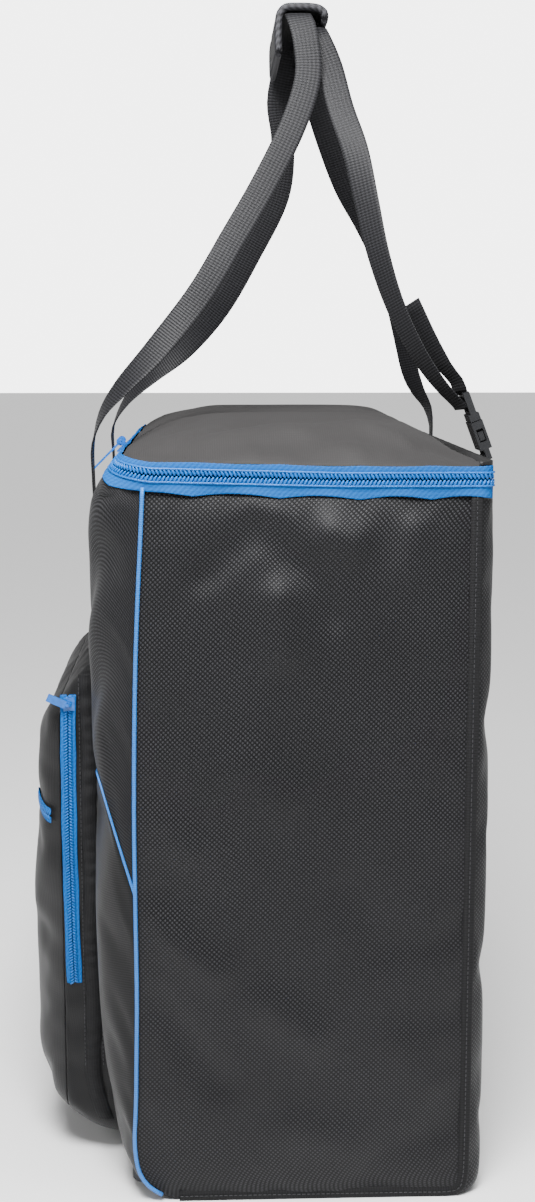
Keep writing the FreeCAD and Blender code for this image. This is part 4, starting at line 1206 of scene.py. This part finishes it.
def lining_grid():
    """The lining: rings go down the wall from the rim, round the foot and in across the floor."""
    rim = rounded_rim(LINING_COUNT, 0.2282, -0.1525, 0.1228, 0.026, 0.014, 0.5225)
    wall = rounded_rim(LINING_COUNT, 0.2215, -0.1462, 0.1165, LINING_ROUND, LINING_ROUND, 0.0)
    levels = [(z, 1.0) for z in np.linspace(0.514, 0.035, 26)]
    levels += [(FLOOR_Z + 0.028 * (1 - math.sin(a)), 1 - 0.03 * (1 - math.cos(a))) for a in (0.5, 1.0, 1.57)]
    levels += [(FLOOR_Z, share) for share in (0.85, 0.6, 0.35, 0.1)]
    middle = np.array((0, -0.015))
    rings = [rim]
    for z, share in levels:
        x, y = (middle + (wall[:, :2] - middle) * share).T
        y = np.where(y < 0, np.maximum(y, front_at(z) + 0.010), y)
        sag = 0.0022 * np.sin(x * 40 + z * 22) * np.sin(z * 18 + y * 60) * ramp(z, 0, 0.12)
        shrink = 1 - sag * share
        rings.append(np.stack([x * shrink, y * shrink, np.full(len(x), z)], axis=1))
    return np.stack(rings)


tub = lining_grid()
tub = np.concatenate([tub, tub[:, :1]], axis=1)
lining = surface("lining", tub, weld=True)
lining.data.flip_normals()
soften(lining, 1, 0.0005)
dress(lining, "bag", "lining", TAFFETA, "lining")


# %% Foam, cradles and divider
def board(name, slot, finish, edge=0.0012):
    """A flat board: the CAD node's own box with round corners and a round edge."""
    low, high = (np.array(corner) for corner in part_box(name))
    middle, half = (low + high) / 2, (high - low) / 2
    thin = int(half.argmin())
    x_axis, y_axis = np.eye(3)[(thin + 1) % 3], np.eye(3)[(thin + 2) % 3]
    outline = round_box(half[(thin + 1) % 3], half[(thin + 2) % 3], 0.012)
    made = slab(name, outline, half[thin] * 2, min(edge, half[thin] * 0.6), middle, x_axis, y_axis)
    return dress(made, "bag", slot, finish, name)


def foam_sheet(name, grid, thick, body="bag"):
    """A thin foam board that follows the cloth over it: a grid of its outer face, thickened inwards."""
    made = surface(name, grid, away=(0, 0, 0.3))
    soften(made, 0, thick)
    dress(made, body, "foam", FOAM, name)


foam_z = np.linspace(0.036, 0.516, 40)[:, None]
for side, word in SIDES:
    front_edge = seam_at(foam_z) + 0.008
    y = front_edge + (0.111 - front_edge) * np.linspace(0, 1, 20)
    x = side * (END_X - FOAM_GIVE - 1.4 * MM)
    foam_sheet("end_foam_" + word, np.stack(np.broadcast_arrays(x, y, foam_z), axis=-1), 0.0024)
x = np.linspace(-0.196, 0.196, 50)
foam_sheet("front_foam", np.stack(np.broadcast_arrays(x, front_at(foam_z) + 0.0035, foam_z), axis=-1), 0.0035)
foam_sheet("rear_foam", np.stack(np.broadcast_arrays(x * 1.1, REAR_Y - 0.0028, foam_z), axis=-1), 0.0035)
board("ball_divider", "lining", TAFFETA, edge=0.003)
board("base_board", "board", BOARD)


def lid_layer(name, depth):
    """A layer under the lid's dome, a depth below it, over the area of its CAD node."""
    low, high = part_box(name)
    x, y = np.meshgrid(np.linspace(low.x, high.x, 60), np.linspace(low.y, high.y, 30), indexing="ij")
    share = np.maximum(np.abs(x) / END_X, np.abs(y + 0.005) / 0.1285)
    return np.stack([x, y, dome_at(x, y, share, LID_RIM_END) - depth], axis=-1)


foam_sheet("lid_foam", lid_layer("lid_foam", 0.0048), 0.0038, body="lid")
under = lid_layer("lid_lining", 0.0098)
under[..., 2] -= 0.0006 * (1 + np.sin(under[..., 0] * 60) * np.sin(under[..., 1] * 70))
lid_lining = surface("lid_lining", under, under[..., :2], away=(0, 0, 0.7))
soften(lid_lining, 1, 0.0005)
dress(lid_lining, "lid", "lining", TAFFETA, "lid_lining")

# %% Dished foam that the balls sit in
BALL_RADIUS = 0.1095
BALL_Z = 0.1207
BALL_Y = -0.015
for side, word in SIDES:
    low, high = (np.array(corner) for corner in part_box("ball_cradle_" + word))
    centre_x = (low[0] + high[0]) / 2
    rim = rounded_rim(30, (high[0] - low[0]) / 2 - 0.0015, low[1] + 0.013, high[1] - 0.002, 0.014, 0.014, 0.0)
    rim[:, 0] += centre_x
    ring, outer = rim_grid(rim, 30)
    middle = np.array([centre_x, BALL_Y])
    xy = middle + (outer[..., :2] - middle) * ring[..., None]
    reach = np.linalg.norm(xy - middle, axis=-1)
    bowl = BALL_Z - np.sqrt(np.maximum(BALL_RADIUS ** 2 - reach ** 2, 0))
    bowl = np.where(reach < BALL_RADIUS * 0.999, bowl, high[2])
    top = np.minimum(bowl, high[2]) - 0.003 * ramp(ring, 0.94, 1) ** 2
    upper_face = np.concatenate([xy, top[..., None]], axis=-1)
    lower_face = np.concatenate([xy, np.full(top.shape + (1,), low[2] + 0.0004)], axis=-1)
    edge = np.stack([lower_face[ring > 1 - 1e-9], upper_face[ring > 1 - 1e-9]])
    order = np.argsort(np.arctan2(edge[0, :, 1] - middle[1], edge[0, :, 0] - middle[0]))
    wall = edge[:, order]
    wall = np.concatenate([wall, wall[:, :1]], axis=1)
    cradle = joined([surface("ball_cradle_" + word, upper_face, xy, away=(*middle, -0.5)),
                     surface("foot", lower_face, xy, away=(*middle, 0.5)),
                     surface("wall", wall, away=(*middle, 0.03))])
    join_doubles(cradle)
    dress(cradle, "bag", "foam", FOAM, "ball_cradle_" + word)
print("inside done")

# %% [markdown]
# ## Hard parts
# The sliders, pulls and buckle are drawn in full in the CAD model, so they keep their shapes and get
# their finishes here.

# %% Finish the CAD parts that stay
pulls = [f"{zip_name}_{part}" for zip_name in ("pocket", "organiser") for part in ("slider", "puller")]
pulls += [f"main_{part}_{word}" for part in ("slider", "puller") for side, word in SIDES]
buckle = ["buckle_socket", "buckle_plug", "squeeze_arm_right", "squeeze_arm_left"]
for finish, names in ((ENAMEL, pulls), (ACETAL, buckle)):
    for name in names:
        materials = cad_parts[name].data.materials
        materials.clear()
        materials.append(finish)

# %% [markdown]
# ## Floor, light and camera
# A pale floor and broad soft lights, as in a small product studio: one large light above, one from
# the camera's side and a weak one behind, so the black cloth shows its folds.

# %% Studio
bpy.ops.mesh.primitive_plane_add(size=40, location=(0, 0, 0))
floor = bpy.context.object
floor.name = "floor"
floor.data.materials.append(new_finish("pale_floor", "#f4f4f4", roughness=0.9))
world = bpy.data.worlds.new("studio")
bpy.context.scene.world = world
world.use_nodes = True
sky = world.node_tree
sky.nodes["Background"].inputs["Strength"].default_value = 0.10
seen = add(sky, "ShaderNodeBackground", {"Strength": 5.0})
rays = add(sky, "ShaderNodeLightPath")
both = add(sky, "ShaderNodeMixShader", (),
           {0: rays.outputs["Is Camera Ray"], 1: sky.nodes["Background"].outputs[0], 2: seen.outputs[0]})
for shade in (sky.nodes["Background"], seen):
    shade.inputs["Color"].default_value = (1, 1, 1, 1)
sky.links.new(both.outputs[0], sky.nodes["World Output"].inputs["Surface"])


def placed(name, data, location, turned):
    """An object with its data, put into the scene at a place and with a turn."""
    obj = bpy.data.objects.new(name, data)
    bpy.context.scene.collection.objects.link(obj)
    obj.location = location
    obj.rotation_euler = turned
    return obj


def soft_light(name, place, aim, size, power):
    """A square area light that faces a point."""
    lamp = bpy.data.lights.new(name, "AREA")
    lamp.size = size
    lamp.energy = power
    placed(name, lamp, place, (Vector(aim) - Vector(place)).to_track_quat("-Z", "Y").to_euler())


soft_light("key", (0.74, -0.16, 1.30), (0.23, 0, 0.5), 0.45, 38)
soft_light("front_side", (1.0, -1.5, 1.3), (0, -0.1, 0.4), 0.9, 12)
soft_light("rear_side", (0.9, 1.8, 1.2), (0, 0, 0.4), 1.0, 10)
sun = bpy.data.lights.new("overhead", "SUN")
sun.energy = 3.0
sun.angle = math.radians(40)
placed("overhead", sun, (0, 0, 0), (math.radians(-5), math.radians(9), 0))

# %% Camera
PITCH = math.radians(9.1)
YAW = math.radians(1.98)
lens = bpy.data.cameras.new("camera")
lens.sensor_fit = "VERTICAL"
lens.sensor_height = 36
lens.lens = 47.9
ahead = Vector((-math.cos(PITCH) * math.cos(YAW), math.cos(PITCH) * math.sin(YAW), -math.sin(PITCH)))
camera = placed("camera", lens, (1.330, -0.071, 0.625), ahead.to_track_quat("-Z", "Y").to_euler())
bpy.context.scene.camera = camera
